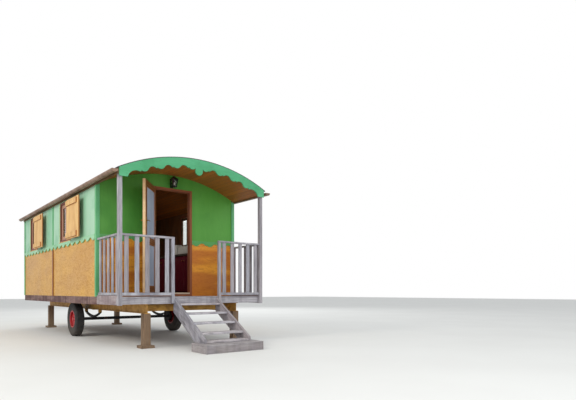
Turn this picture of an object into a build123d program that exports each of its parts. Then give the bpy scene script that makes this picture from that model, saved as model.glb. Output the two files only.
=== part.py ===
from build123d import *
import math
import os

os.makedirs("parts", exist_ok=True)

# Showman's living wagon, parked on its props, in millimetres.
# X points to the right as seen from the porch, Y from the porch to the towing eye, Z up.
# Everything is drawn with Y = 0 at the porch's front line and the ground at Z = 0,
# and save() then shifts it so that the origin is the middle of its footprint.

# Main sizes
CABIN_WIDTH = 2800.0
CABIN_LENGTH = 5680.0
PORCH_DEPTH = 1050.0
WALL = 50.0

# Roof, an arch of one radius: its crown over the door frame and its rise from the eaves
ROOF_OVER_DOOR = 318.0
ROOF_RISE = 345.4
ROOF_SHELL = 55.0
CEILING = 15.0
COVERING = 12.0
COVERING_LAP = 30.0
REAR_OVERHANG = 80.0
EAVE_BOARD = 20.0
EAVE_BOARD_DEPTH = 100.6

# Scalloped boards: along = share of one motif, drop = share of the scallop's height
MOTIF_PITCH = 305.0
MOTIF_NOTCH = (0.072, 0.42)
MOTIF_LOBE = (0.28, 0.98)
MOTIF_LOBE_END = (0.49, 0.60)
MOTIF_ARCH = (0.765, 0.0)
MOTIF_POINT_DROP = 0.75
FASCIA_BOARD = 25.0
FASCIA_BAND = 122.0
FASCIA_SCALLOP = 58.0
FASCIA_TIP_FLAT = 62.0
PENDANT_WIDTH = 138.0
PENDANT_DEPTH = 270.0
PENDANT_SHOULDER = 1.25
PENDANT_CHEEK = (0.62, 0.22)
FRINGE_BOARD = 18.0
FRINGE_OVER_SPLIT = 30.0
FRINGE_BAND = 45.0
FRINGE_SCALLOP = 60.0

# Trim on the walls
CORNER_BOARD = 15.0
CORNER_BOARD_WIDTH = 50.0
BATTEN = 15.0
BATTEN_WIDTH = 50.0
SKIRT_UNDER_RAILS = 16.0
SKIRT_BOARD = 45.0
BUTT_GAP = 0.4

# Floor
FLOOR_BOARD = 60.0
FLOOR_TOP = 15.0
BEARER_WIDTH = 60.0
BEARER_COUNT = 8

# Porch
DECK_BOARD = 25.0
DECK_BOARD_WIDTH = 118.0
DECK_GAP = 6.0
POST = 63.0
POST_FRONT = 24.0
POST_INSET = 34.0
STAIR_POST = 50.0
STAIR_POST_GAP = 0.5
STAIR_POST_FOOT = 110.0
BEAM = 45.0
JOIST = 45.0
JOIST_COUNT = 5
RIM_TOP = 20.0
RIM_BOTTOM = 130.0
RAIL_TOP = 1010.0
RAIL_WIDTH = 60.0
RAIL_THICK = 32.0
LOW_RAIL_BOTTOM = 22.0
LOW_RAIL_DEPTH = 48.0
LOW_RAIL_THICK = 30.0
BALUSTER_WIDTH = 72.0
BALUSTER_THICK = 20.0
BALUSTER_COUNT = 5
BALUSTER_END_SHARE = 0.41

# Door
DOOR_OPENING_WIDTH = 760.0
DOOR_OPENING_TOP = 2020.0
DOOR_SILL_TOP = 70.0
DOOR_FRAME_WIDTH = 54.0
DOOR_FRAME_HEAD = 38.0
DOOR_FRAME_PROUD = 10.0
DOOR_STOP = 12.0
DOOR_LEAF = 48.0
DOOR_GAP = 4.0
DOOR_OPEN_ANGLE = 127.5
DOOR_STILE = 105.0
DOOR_PANEL_RECESS = 9.0
DOOR_MID_RAIL = 900.0
DOOR_HINGE_PROUD = 9.0
DOOR_HINGE_PIN = 5.0
DOOR_HINGE_BARREL = 8.0
DOOR_HINGE_LENGTH = 90.0
DOOR_HINGE_INSET = 250.0
DOOR_HINGE_FLAP = 46.0
DOOR_HINGE_SHEET = 3.0
DOOR_HINGE_LAP = 4.0
KNUCKLE_GAP = 1.0
HANDLE_HEIGHT = 1310.0
HANDLE_INSET = 55.0
HANDLE_LEVER = 110.0
HANDLE_STAND = 42.0
HANDLE_NECK = 8.0
HANDLE_GRIP = 7.0
HANDLE_PLATE = (40.0, 5.0)
HANDLE_PLATE_REACH = (130.0, 60.0)
HINGE_CLEARANCE = 0.3

# Windows, set out from the cabin's two ends and hung from the eave, and their shutters
WINDOW_FROM_FRONT = 1520.0
WINDOW_FROM_REAR = 1440.0
WINDOW_WIDTH = 770.0
WINDOW_UNDER_EAVE = 110.6
WINDOW_HEIGHT = 815.0
WINDOW_FRAME = 42.0
SPLIT_UNDER_WINDOW = 45.0
GLASS = 6.0
GLASS_SETBACK = 40.0
SHUTTER_UNDER_SILL = 5.0
SHUTTER_UNDER_HEAD = 60.0
SHUTTER_BOARD = 22.0
SHUTTER_BATTEN = 22.0
SHUTTER_BATTEN_WIDTH = 95.0
SHUTTER_BATTEN_EDGE = 25.0
SHUTTER_BATTEN_HINGE_END = 10.0
SHUTTER_BATTEN_FREE_END = 90.0
SHUTTER_WALL_GAP = 8.0
SHUTTER_HINGE_GAP = 22.0
STRAP = 5.0
STRAP_WIDTH = 34.0
STRAP_LENGTH = 560.0
STRAP_TIP = 12.0
STRAP_INSET = 130.0
PINTLE_PIN = 6.0
PINTLE_EYE = 11.0
PINTLE_PLATE = 6.0
PINTLE_HEIGHT = 90.0
PINTLE_PIN_PROUD = 12.0
PINTLE_ARM = 12.0

# Gutters
GUTTER_RADIUS = 50.0
GUTTER_WALL = 4.0
GUTTER_GAP = 6.0
GUTTER_UNDER_EAVE = 42.6
GUTTER_BRACKET = 20.0
GUTTER_BRACKET_PITCH = 950.0
GUTTER_FRONT_LAP = 30.0

# Steps, with heights below the deck
STEP_WIDTH = 784.0
STRINGER = 40.0
STRINGER_DEPTH = 250.0
STRINGER_START = 65.0
STRINGER_GOING = 246.0
STRINGER_TOE = 65.0
STRINGER_TOP = 30.0
TREAD = 32.0
TREAD_DEPTH = 225.0
FIRST_TREAD = 115.0
TREAD_COUNT = 4
PLATFORM_WIDTH = 1050.0
PLATFORM_AHEAD = 230.0
PLATFORM_BEHIND = 240.0
PLATFORM_BOARD = 27.0
PLATFORM_FRAME = 40.0
PLATFORM_TOP = 135.0
PLATFORM_BOARDS = 4

# Chassis
RAIL_INSET = 530.0
RAIL_DEPTH = 160.0
RAIL_FLANGE = 82.0
RAIL_WEB = 7.0
RAIL_FLANGE_THICK = 9.0
RAIL_LINE = 120.0
RAIL_START_GAP = 8.0
RAIL_REAR_INSET = 330.0
CROSS_DEPTH = 100.0
CROSS_FLANGE = 50.0
CROSS_THICK = 7.0
CROSS_FROM_FRONT = (260.0, 1810.0)
CROSS_FROM_REAR = (1850.0, 340.0)
PROP = 120.0
PROP_PAD = 220.0
PROP_PAD_THICK = 45.0
PROP_FROM_FRONT = 70.0
PROP_FROM_REAR = 100.0
EYE_REACH = 1070.0
EYE_SHANK = 240.0
EYE_BORE = 20.0
EYE_RING = 52.0
EYE_THICK = 30.0
DRAWBAR_TUBE = 80.0
DRAWBAR_SPREAD = 45.0
DRAWBAR_SHANK = 46.0

# Axle, springs and wheels
AXLE_FORWARD = 640.0
TYRE_RADIUS = 360.0
TYRE_WIDTH = 170.0
WHEEL_INSET = 285.0
WHEEL_CLEAR = 10.0
AXLE_TUBE = 60.0
SPINDLE = 24.0
SPINDLE_TIP = 30.0
BRAKE_DRUM = 112.0
BRAKE_DRUM_WIDTH = 55.0
BRAKE_DRUM_GAP = 8.0
SPRING_INSET = 110.0
SPRING_WIDTH = 60.0
SPRING_LEAF = 10.0
SPRING_SPAN = 900.0
SPRING_SAG = 70.0
LEAF_SHARES = (1.0, 0.78, 0.56, 0.34)
HANGER = 50.0
HANGER_WALL = 8.0
RIM_RADIUS = 180.0
RIM_HALF_WIDTH = 72.0
RIM_SHEET = 9.0
BEAD_HALF = 60.0
BEAD_DROP = 14.0
DISC_PLACE = 30.0
DISC_SHEET = 7.0
HUB_RADIUS = 50.0
HUB_BACK = 40.0
HUB_FRONT = 38.0
HUB_CAP_RADIUS = 42.0
HUB_CAP_DOME = ((24.0, 12.0),)
LUG_COUNT = 5
LUG_CIRCLE = 66.0
LUG_RADIUS = 9.0
LUG_LENGTH = 14.0
HAND_HOLES = 4
HAND_HOLE_RADIUS = 15.0
HAND_HOLE_CIRCLE = 112.0
SHOULDER = (20.0, 54.0)

# Lamp over the door, square and wider at its top
LAMP_OVER_FRAME = 7.0
LAMP_AIR = 35.0
LAMP_FOOT = 14.0
LAMP_FOOT_WIDTH = 85.0
LAMP_TOP_WIDTH = 118.0
LAMP_SHEET = 5.0
LAMP_BAR = 10.0
LAMP_ROOF = 46.0
LAMP_ROOF_LAP = 8.0
LAMP_ROOF_TAPER = 44.0
LAMP_KNOB = 12.0
LAMP_KNOB_HEIGHT = 16.0
LAMP_STAND = 105.0
LAMP_ARM = 8.0
LAMP_PLATE_HALF = 28.0
LAMP_PLATE_HEIGHT = 100.0
LAMP_PLATE = 6.0

# Kitchen unit that shows through the doorway
KITCHEN_FROM_FRONT = 370.0
KITCHEN_LENGTH = 2200.0
KITCHEN_DEPTH = 620.0
KITCHEN_TOP = 900.0
WORKTOP = 38.0
WORKTOP_LAP = 20.0
KITCHEN_DOORS = 4
KITCHEN_REVEAL = 4.0
KITCHEN_PLINTH = 90.0
KITCHEN_DOOR_THICK = 18.0

# Places worked out from the sizes above, first the heights
HALF = CABIN_WIDTH / 2
RAIL_TOP_Z = 2 * TYRE_RADIUS + WHEEL_CLEAR
RAIL_BOTTOM_Z = RAIL_TOP_Z - RAIL_DEPTH
DECK_TOP = RAIL_TOP_Z + RAIL_LINE
FLOOR_UNDER = DECK_TOP + FLOOR_TOP - FLOOR_BOARD
SKIRT_LOW = RAIL_TOP_Z - SKIRT_UNDER_RAILS
DOOR_SILL = DECK_TOP + DOOR_SILL_TOP
DOOR_HEAD = DECK_TOP + DOOR_OPENING_TOP
FRAME_TOP = DOOR_HEAD + DOOR_FRAME_HEAD
ROOF_TOP = FRAME_TOP + ROOF_OVER_DOOR
ROOF_RADIUS = (HALF**2 + ROOF_RISE**2) / (2 * ROOF_RISE)
ARCH_CENTRE = ROOF_TOP - ROOF_RADIUS
SHELL_INSIDE = ROOF_RADIUS - ROOF_SHELL
SOFFIT = SHELL_INSIDE - CEILING
EAVE = ROOF_TOP - ROOF_RISE
EAVE_LOW = EAVE - EAVE_BOARD_DEPTH
GUTTER_RIM = EAVE - GUTTER_UNDER_EAVE
WINDOW_TOP = EAVE - WINDOW_UNDER_EAVE
WINDOW_SILL = WINDOW_TOP - WINDOW_HEIGHT
SHUTTER_LOW = WINDOW_SILL - SHUTTER_UNDER_SILL
SHUTTER_TOP = WINDOW_TOP - SHUTTER_UNDER_HEAD
SPLIT = WINDOW_SILL - SPLIT_UNDER_WINDOW
FRINGE_TOP = SPLIT + FRINGE_OVER_SPLIT
HIGH = ROOF_TOP + ROOF_OVER_DOOR
EYE_HEIGHT = (RAIL_TOP_Z + RAIL_BOTTOM_Z) / 2
STEP_RISE = (DECK_TOP - FIRST_TREAD - PLATFORM_TOP) / TREAD_COUNT

# Places along the wagon
CABIN_FRONT = PORCH_DEPTH
CABIN_REAR = PORCH_DEPTH + CABIN_LENGTH
ROOF_REAR = CABIN_REAR + REAR_OVERHANG
WINDOW_FRONTS = {"front": CABIN_FRONT + WINDOW_FROM_FRONT, "rear": CABIN_REAR - WINDOW_FROM_REAR}
POST_BACK = POST_FRONT + POST
DOOR_FACE = CABIN_FRONT - DOOR_FRAME_PROUD
SLOPE = STEP_RISE / STRINGER_GOING
STRINGER_FOOT = -(DECK_TOP - STRINGER_START - PLATFORM_TOP - STRINGER_TOE) / SLOPE
PLATFORM_FRONT = STRINGER_FOOT - PLATFORM_AHEAD
PLATFORM_REAR = STRINGER_FOOT + PLATFORM_BEHIND
RAIL_FRONT = POST_BACK + BEAM + RAIL_START_GAP
RAIL_REAR = CABIN_REAR - RAIL_REAR_INSET
CROSS_PLACES = [RAIL_FRONT + gap for gap in CROSS_FROM_FRONT] + [RAIL_REAR - gap for gap in CROSS_FROM_REAR]
PROP_PLACES = (RAIL_FRONT + PROP_FROM_FRONT, RAIL_REAR - PROP_FROM_REAR)
AXLE_PLACE = (CABIN_FRONT + CABIN_REAR) / 2 - AXLE_FORWARD
EYE_CENTRE = CABIN_REAR + EYE_REACH
DRAWBAR_ROOT = CROSS_PLACES[-1] + CROSS_FLANGE
DRAWBAR_HEAD = EYE_CENTRE - EYE_SHANK
MIDDLE = (PLATFORM_FRONT + EYE_CENTRE + EYE_RING) / 2

# Places across the wagon
POST_X = HALF - POST_INSET
STAIR_POST_X = STEP_WIDTH / 2 + STRINGER + STAIR_POST_GAP + STAIR_POST / 2
DOOR_HALF = DOOR_OPENING_WIDTH / 2
FRAME_HALF = DOOR_HALF + DOOR_FRAME_WIDTH
SHUTTER_HINGE_OUT = SHUTTER_WALL_GAP + SHUTTER_BATTEN + SHUTTER_BOARD + PINTLE_EYE
RAIL_X = HALF - RAIL_INSET
SPRING_X = RAIL_X - SPRING_INSET
WHEEL_X = HALF - WHEEL_INSET
RIM_SEAT = RIM_RADIUS - BEAD_DROP


def block(x0, x1, y0, y1, z0, z1):
    """Box between two corners."""
    box = Box(abs(x1 - x0), abs(y1 - y0), abs(z1 - z0))
    return Pos((x0 + x1) / 2, (y0 + y1) / 2, (z0 + z1) / 2) * box


def arch_cylinder(radius, y0, y1):
    """Round bar about the roof's axis, from one end of it to the other."""
    bar = Rot(90, 0, 0) * Cylinder(radius, y1 - y0)
    return Pos(0, (y0 + y1) / 2, ARCH_CENTRE) * bar


def arch_slice(outer, inner, half_width, y0, y1):
    """Curved sheet of the roof between two radii, cut off square at the eaves."""
    sheet = arch_cylinder(outer, y0, y1) - arch_cylinder(inner, y0 - 1, y1 + 1)
    keep = block(-half_width, half_width, y0 - 1, y1 + 1, DECK_TOP, HIGH)
    return sheet & keep


def upright(face, y0, thick):
    """Plate whose outline is drawn in X and Z, from y0 to y0 + thick."""
    return Pos(0, y0 + thick, 0) * extrude(Plane.XZ * face, thick)


def sideways(face, x0, thick):
    """Plate whose outline is drawn in Y and Z, from x0 to x0 + thick."""
    return Pos(x0, 0, 0) * extrude(Plane.YZ * face, thick)


def save(node, solids):
    """Write one node, moved to the frame whose origin is the middle of the footprint."""
    moved = [Pos(0, -MIDDLE, 0) * solid for solid in solids]
    pieces = [piece for solid in moved for piece in solid.solids()]
    shape = pieces[0] if len(pieces) == 1 else Compound(pieces)
    export_step(shape, "parts/" + node + ".step")


def scallop_edges(start, pitch, height, place):
    """One motif from point to point: notch, round lobe, round arch, next point."""
    def at(pair):
        return place(start + pair[0] * pitch, pair[1] * height)

    point = at((0.0, MOTIF_POINT_DROP))
    end = at((1.0, MOTIF_POINT_DROP))
    return [
        Line(point, at(MOTIF_NOTCH)),
        ThreePointArc(at(MOTIF_NOTCH), at(MOTIF_LOBE), at(MOTIF_LOBE_END)),
        ThreePointArc(at(MOTIF_LOBE_END), at(MOTIF_ARCH), end),
    ]


def fringe_face(start, end, top, band, height):
    """Straight board with a scalloped lower edge."""
    count = max(1, round((end - start) / MOTIF_PITCH))
    pitch = (end - start) / count
    base = top - band

    def place(along, drop):
        return (along, base - drop)

    edges = []
    for index in range(count):
        edges += scallop_edges(start + index * pitch, pitch, height, place)
    last = place(end, MOTIF_POINT_DROP * height)
    first = place(start, MOTIF_POINT_DROP * height)
    edges += [Line(last, (end, top)), Line((end, top), (start, top)), Line((start, top), first)]
    return make_face(Curve() + edges)


def arch_point(along, drop):
    """Point at a distance along the roof's arch from its top, and so far below it."""
    angle = along / ROOF_RADIUS
    radius = ROOF_RADIUS - drop
    return (radius * math.sin(angle), ARCH_CENTRE + radius * math.cos(angle))


def fascia_half():
    """Right half of the arched scalloped board, from the pendant to the eave."""
    half_pendant = PENDANT_WIDTH / 2

    def place(along, drop):
        return arch_point(along, FASCIA_BAND + drop)

    edges = []
    notch_drop = MOTIF_NOTCH[1] * FASCIA_SCALLOP
    point_drop = MOTIF_POINT_DROP * FASCIA_SCALLOP
    lobe_start = place(half_pendant, notch_drop)
    first_point = half_pendant + (1.0 - MOTIF_LOBE_END[0]) * MOTIF_PITCH
    first_notch = first_point - MOTIF_NOTCH[0] * MOTIF_PITCH
    lobe_end = place(first_notch, notch_drop)
    lobe_mid = place((half_pendant + first_notch) / 2, FASCIA_SCALLOP)
    edges.append(ThreePointArc(lobe_start, lobe_mid, lobe_end))
    edges.append(Line(lobe_end, place(first_point, point_drop)))
    end_along = math.asin(HALF / ROOF_RADIUS) * ROOF_RADIUS
    whole_motifs = int((end_along - half_pendant) / MOTIF_PITCH) - 1
    for index in range(whole_motifs):
        start = first_point + (index + 1) * MOTIF_PITCH
        edges += scallop_edges(start, -MOTIF_PITCH, FASCIA_SCALLOP, place)
    last_point = first_point + whole_motifs * MOTIF_PITCH
    tip_along = end_along - FASCIA_TIP_FLAT
    tip = place(tip_along, FASCIA_SCALLOP)
    arch_mid = place((last_point + tip_along) / 2, 0.0)
    corner = (HALF, tip[1])
    eave = arch_point(end_along, 0.0)
    crown = arch_point(0.0, 0.0)
    edges.append(ThreePointArc(place(last_point, point_drop), arch_mid, tip))
    edges.append(Line(tip, corner))
    edges.append(Line(corner, eave))
    edges.append(ThreePointArc(eave, arch_point(end_along / 2, 0.0), crown))
    root = place(0.0, 0.0)
    edges.append(Line(crown, root))
    edges.append(Line(root, lobe_start))
    return make_face(Curve() + edges)


def pendant_face():
    """Drop with straight sides and a round end, under the middle of the arch."""
    half = PENDANT_WIDTH / 2
    top = ARCH_CENTRE + ROOF_RADIUS - FASCIA_BAND / 2
    tip = ARCH_CENTRE + ROOF_RADIUS - PENDANT_DEPTH
    shoulder = tip + half * PENDANT_SHOULDER
    cheek_x = half * PENDANT_CHEEK[0]
    cheek_z = tip + half * PENDANT_CHEEK[1]
    edges = [
        Line((-half, top), (half, top)),
        Line((half, top), (half, shoulder)),
        ThreePointArc((half, shoulder), (cheek_x, cheek_z), (0, tip)),
        ThreePointArc((0, tip), (-cheek_x, cheek_z), (-half, shoulder)),
        Line((-half, shoulder), (-half, top)),
    ]
    return make_face(Curve() + edges)


def fascia(y0):
    """Arched board over one end of the roof."""
    half = upright(fascia_half(), y0, FASCIA_BOARD)
    return half + mirror(half, Plane.YZ) + upright(pendant_face(), y0, FASCIA_BOARD)


def under_roof(solid, y0, y1):
    """Cut a wall to the curve of the ceiling's upper side."""
    return solid & arch_cylinder(SOFFIT, y0, y1)


def make_roof():
    """Arched shell, its covering, the boarded ceiling and the eave boards."""
    shell = arch_slice(ROOF_RADIUS, SHELL_INSIDE, HALF, 0, ROOF_REAR)
    lapped = HALF + COVERING_LAP
    front = -FASCIA_BOARD
    rear = ROOF_REAR + FASCIA_BOARD
    covering = arch_slice(ROOF_RADIUS + COVERING, ROOF_RADIUS, lapped, front, rear)
    save("roof_shell", [shell])
    save("roof_covering", [covering])
    save("ceiling_boards", [arch_slice(SHELL_INSIDE, SOFFIT, HALF, 0, ROOF_REAR)])
    boards = []
    for side in (-1, 1):
        board = block(side * HALF, side * (HALF + EAVE_BOARD), 0, ROOF_REAR, EAVE_LOW, HIGH)
        boards.append(board & arch_cylinder(ROOF_RADIUS, -1, ROOF_REAR + 1))
    save("eave_boards", boards)
    save("fascia_front", [fascia(-FASCIA_BOARD)])
    save("fascia_rear", [fascia(ROOF_REAR)])


def window_spans():
    """Window openings as pairs of name, front edge and rear edge."""
    return [(name, front, front + WINDOW_WIDTH) for name, front in WINDOW_FRONTS.items()]


def make_side_walls():
    """Lower and upper panels of both long walls, with the window openings cut."""
    for label, side in (("left", -1), ("right", 1)):
        outer = side * HALF
        inner = side * (HALF - WALL)
        lower = block(inner, outer, CABIN_FRONT, CABIN_REAR, DECK_TOP, SPLIT)
        upper = block(inner, outer, CABIN_FRONT, CABIN_REAR, SPLIT, HIGH)
        upper = under_roof(upper, CABIN_FRONT - 1, CABIN_REAR + 1)
        for _, front, rear in window_spans():
            upper -= block(inner - side, outer + side, front, rear, WINDOW_SILL, WINDOW_TOP)
        save("wall_" + label + "_lower", [lower])
        save("wall_" + label + "_upper", [upper])


def make_end_walls():
    """Front wall with the doorway and plain rear wall, between the side walls."""
    inside = HALF - WALL
    for label, y0 in (("front", CABIN_FRONT), ("rear", CABIN_REAR - WALL)):
        y1 = y0 + WALL
        lower = block(-inside, inside, y0, y1, DECK_TOP, SPLIT)
        upper = block(-inside, inside, y0, y1, SPLIT, HIGH)
        upper = under_roof(upper, y0 - 1, y1 + 1)
        if label == "front":
            doorway = block(-FRAME_HALF, FRAME_HALF, y0 - 1, y1 + 1, DECK_TOP - 1, FRAME_TOP)
            lower -= doorway
            upper -= doorway
        save("wall_" + label + "_lower", [lower])
        save("wall_" + label + "_upper", [upper])


def make_trim():
    """Corner boards, battens and scalloped fringe boards on the outside of the walls."""
    corners = []
    uppers = []
    lowers = []
    fringes = []
    fringe_low = FRINGE_TOP - FRINGE_BAND - FRINGE_SCALLOP
    middle = (CABIN_FRONT + CABIN_REAR) / 2
    corner_top = ARCH_CENTRE + math.sqrt(SOFFIT**2 - HALF**2)
    ends = [(CABIN_FRONT, -1), (CABIN_REAR, 1)]
    for side in (-1, 1):
        wall = side * HALF
        for face, out in ends:
            cheek_in = wall - side * CORNER_BOARD_WIDTH
            cheek_out = wall + side * CORNER_BOARD
            flank_end = face - out * CORNER_BOARD_WIDTH
            cheek_end = face + out * CORNER_BOARD
            flank = block(wall, cheek_out, face, flank_end, DECK_TOP, EAVE_LOW)
            cheek = block(cheek_in, cheek_out, face, cheek_end, DECK_TOP, EAVE_LOW)
            gusset = block(cheek_in, wall, face, cheek_end, EAVE_LOW, corner_top)
            corners.append(flank + cheek + gusset)
        y0 = middle - BATTEN_WIDTH / 2
        y1 = middle + BATTEN_WIDTH / 2
        uppers.append(block(wall, wall + side * BATTEN, y0, y1, FRINGE_TOP, EAVE_LOW))
        lowers.append(block(wall, wall + side * BATTEN, y0, y1, DECK_TOP, fringe_low))
        start = CABIN_FRONT + CORNER_BOARD_WIDTH
        end = CABIN_REAR - CORNER_BOARD_WIDTH
        face = fringe_face(start, end, FRINGE_TOP, FRINGE_BAND, FRINGE_SCALLOP)
        x0 = wall if side > 0 else wall - FRINGE_BOARD
        fringes.append(sideways(face, x0, FRINGE_BOARD))
    inner = HALF - CORNER_BOARD_WIDTH
    left = fringe_face(-inner, -FRAME_HALF, FRINGE_TOP, FRINGE_BAND, FRINGE_SCALLOP)
    right = fringe_face(FRAME_HALF, inner, FRINGE_TOP, FRINGE_BAND, FRINGE_SCALLOP)
    rear = fringe_face(-inner, inner, FRINGE_TOP, FRINGE_BAND, FRINGE_SCALLOP)
    fringes.append(upright(left, CABIN_FRONT - FRINGE_BOARD, FRINGE_BOARD))
    fringes.append(upright(right, CABIN_FRONT - FRINGE_BOARD, FRINGE_BOARD))
    fringes.append(upright(rear, CABIN_REAR, FRINGE_BOARD))
    save("corner_boards", corners + uppers)
    save("lower_battens", lowers)
    save("fringe_boards", fringes)


def make_floor():
    """Cabin floor, the bearers that carry it and the skirt boards round it."""
    inside = HALF - WALL
    skirt_inner = HALF - SKIRT_BOARD
    front = CABIN_FRONT + WALL
    rear = CABIN_REAR - WALL
    save("floor", [block(-inside, inside, front, rear, FLOOR_UNDER, DECK_TOP + FLOOR_TOP)])
    first = front + BEARER_WIDTH
    last = rear - BEARER_WIDTH
    bearers = []
    for index in range(BEARER_COUNT):
        centre = first + (last - first) * index / (BEARER_COUNT - 1)
        y0 = centre - BEARER_WIDTH / 2
        y1 = centre + BEARER_WIDTH / 2
        bearers.append(block(-skirt_inner, skirt_inner, y0, y1, RAIL_TOP_Z, FLOOR_UNDER))
    save("floor_bearers", bearers)
    skirts = []
    for side in (-1, 1):
        skirts.append(block(side * skirt_inner, side * HALF, CABIN_FRONT, CABIN_REAR, SKIRT_LOW, DECK_TOP))
    end = skirt_inner - BUTT_GAP
    skirts.append(block(-end, end, CABIN_REAR - SKIRT_BOARD, CABIN_REAR, SKIRT_LOW, DECK_TOP))
    skirts.append(block(-end, end, CABIN_FRONT, CABIN_FRONT + SKIRT_BOARD, RAIL_TOP_Z, DECK_TOP))
    save("skirt_boards", skirts)


def make_porch():
    """Deck boards on joists, posts up to the roof and rim boards at the sides."""
    under = DECK_TOP - DECK_BOARD
    half_post = POST / 2
    rim_inner = HALF - SKIRT_BOARD
    boards = []
    count = round((CABIN_FRONT - POST_BACK) / (DECK_BOARD_WIDTH + DECK_GAP))
    pitch = (CABIN_FRONT - CORNER_BOARD - POST_BACK + DECK_GAP) / count
    for index in range(count):
        y0 = POST_BACK + index * pitch
        boards.append(block(-rim_inner, rim_inner, y0, y0 + pitch - DECK_GAP, under, DECK_TOP))
    save("porch_deck", boards)
    beam = block(-HALF, HALF, POST_BACK, POST_BACK + BEAM, RAIL_TOP_Z, under)
    span = rim_inner - JOIST / 2
    joists = [beam]
    for index in range(JOIST_COUNT):
        x = -span + 2 * span * index / (JOIST_COUNT - 1)
        joists.append(block(x - JOIST / 2, x + JOIST / 2, POST_BACK, CABIN_FRONT, RAIL_TOP_Z, under))
    frame = joists[0]
    for joist in joists[1:]:
        frame += joist
    save("porch_joists", [frame])
    rims = []
    low = DECK_TOP - RIM_BOTTOM
    high = DECK_TOP + RIM_TOP
    for side in (-1, 1):
        rim = block(side * rim_inner, side * HALF, POST_BACK, CABIN_FRONT - CORNER_BOARD, low, high)
        rims.append(rim - frame)
    save("porch_rims", rims)
    posts = []
    for side in (-1, 1):
        x0 = side * POST_X - half_post
        x1 = side * POST_X + half_post
        post = block(x0, x1, POST_FRONT, POST_BACK, SKIRT_LOW, HIGH)
        posts.append(under_roof(post, POST_FRONT - 1, POST_BACK + 1))
    for side in (-1, 1):
        x0 = side * STAIR_POST_X - STAIR_POST / 2
        x1 = side * STAIR_POST_X + STAIR_POST / 2
        low = DECK_TOP - STAIR_POST_FOOT
        high = DECK_TOP + RAIL_TOP - RAIL_THICK
        posts.append(block(x0, x1, POST_BACK - STAIR_POST, POST_BACK, low, high))
    save("porch_posts", posts)


def railing(length, cap):
    """Rails and flat balusters along X from 0 to length. The top rail runs on over a post by cap."""
    top = DECK_TOP + RAIL_TOP
    low = DECK_TOP + LOW_RAIL_BOTTOM
    half = BALUSTER_THICK / 2
    panel = block(0, length + cap, -RAIL_WIDTH / 2, RAIL_WIDTH / 2, top - RAIL_THICK, top)
    panel += block(0, length, -LOW_RAIL_THICK / 2, LOW_RAIL_THICK / 2, low, low + LOW_RAIL_DEPTH)
    free = length - BALUSTER_COUNT * BALUSTER_WIDTH
    gap = free / (BALUSTER_COUNT - 1 + 2 * BALUSTER_END_SHARE)
    for index in range(BALUSTER_COUNT):
        x0 = gap * BALUSTER_END_SHARE + index * (BALUSTER_WIDTH + gap)
        panel += block(x0, x0 + BALUSTER_WIDTH, -half, half, low + LOW_RAIL_DEPTH, top - RAIL_THICK)
    return panel


def make_railings():
    """Two railings beside the steps and one at each side of the porch."""
    front_line = POST_BACK - STAIR_POST / 2
    outer = POST_X - POST / 2
    inner = STAIR_POST_X + STAIR_POST / 2
    left = Pos(-outer, front_line, 0) * railing(outer - inner, STAIR_POST)
    save("front_railings", [left, mirror(left, Plane.YZ)])
    side_length = CABIN_FRONT - FRINGE_BOARD - POST_BACK
    right = Pos(POST_X, POST_BACK, 0) * (Rot(0, 0, 90) * railing(side_length, 0))
    save("side_railings", [mirror(right, Plane.YZ), right])


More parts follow.
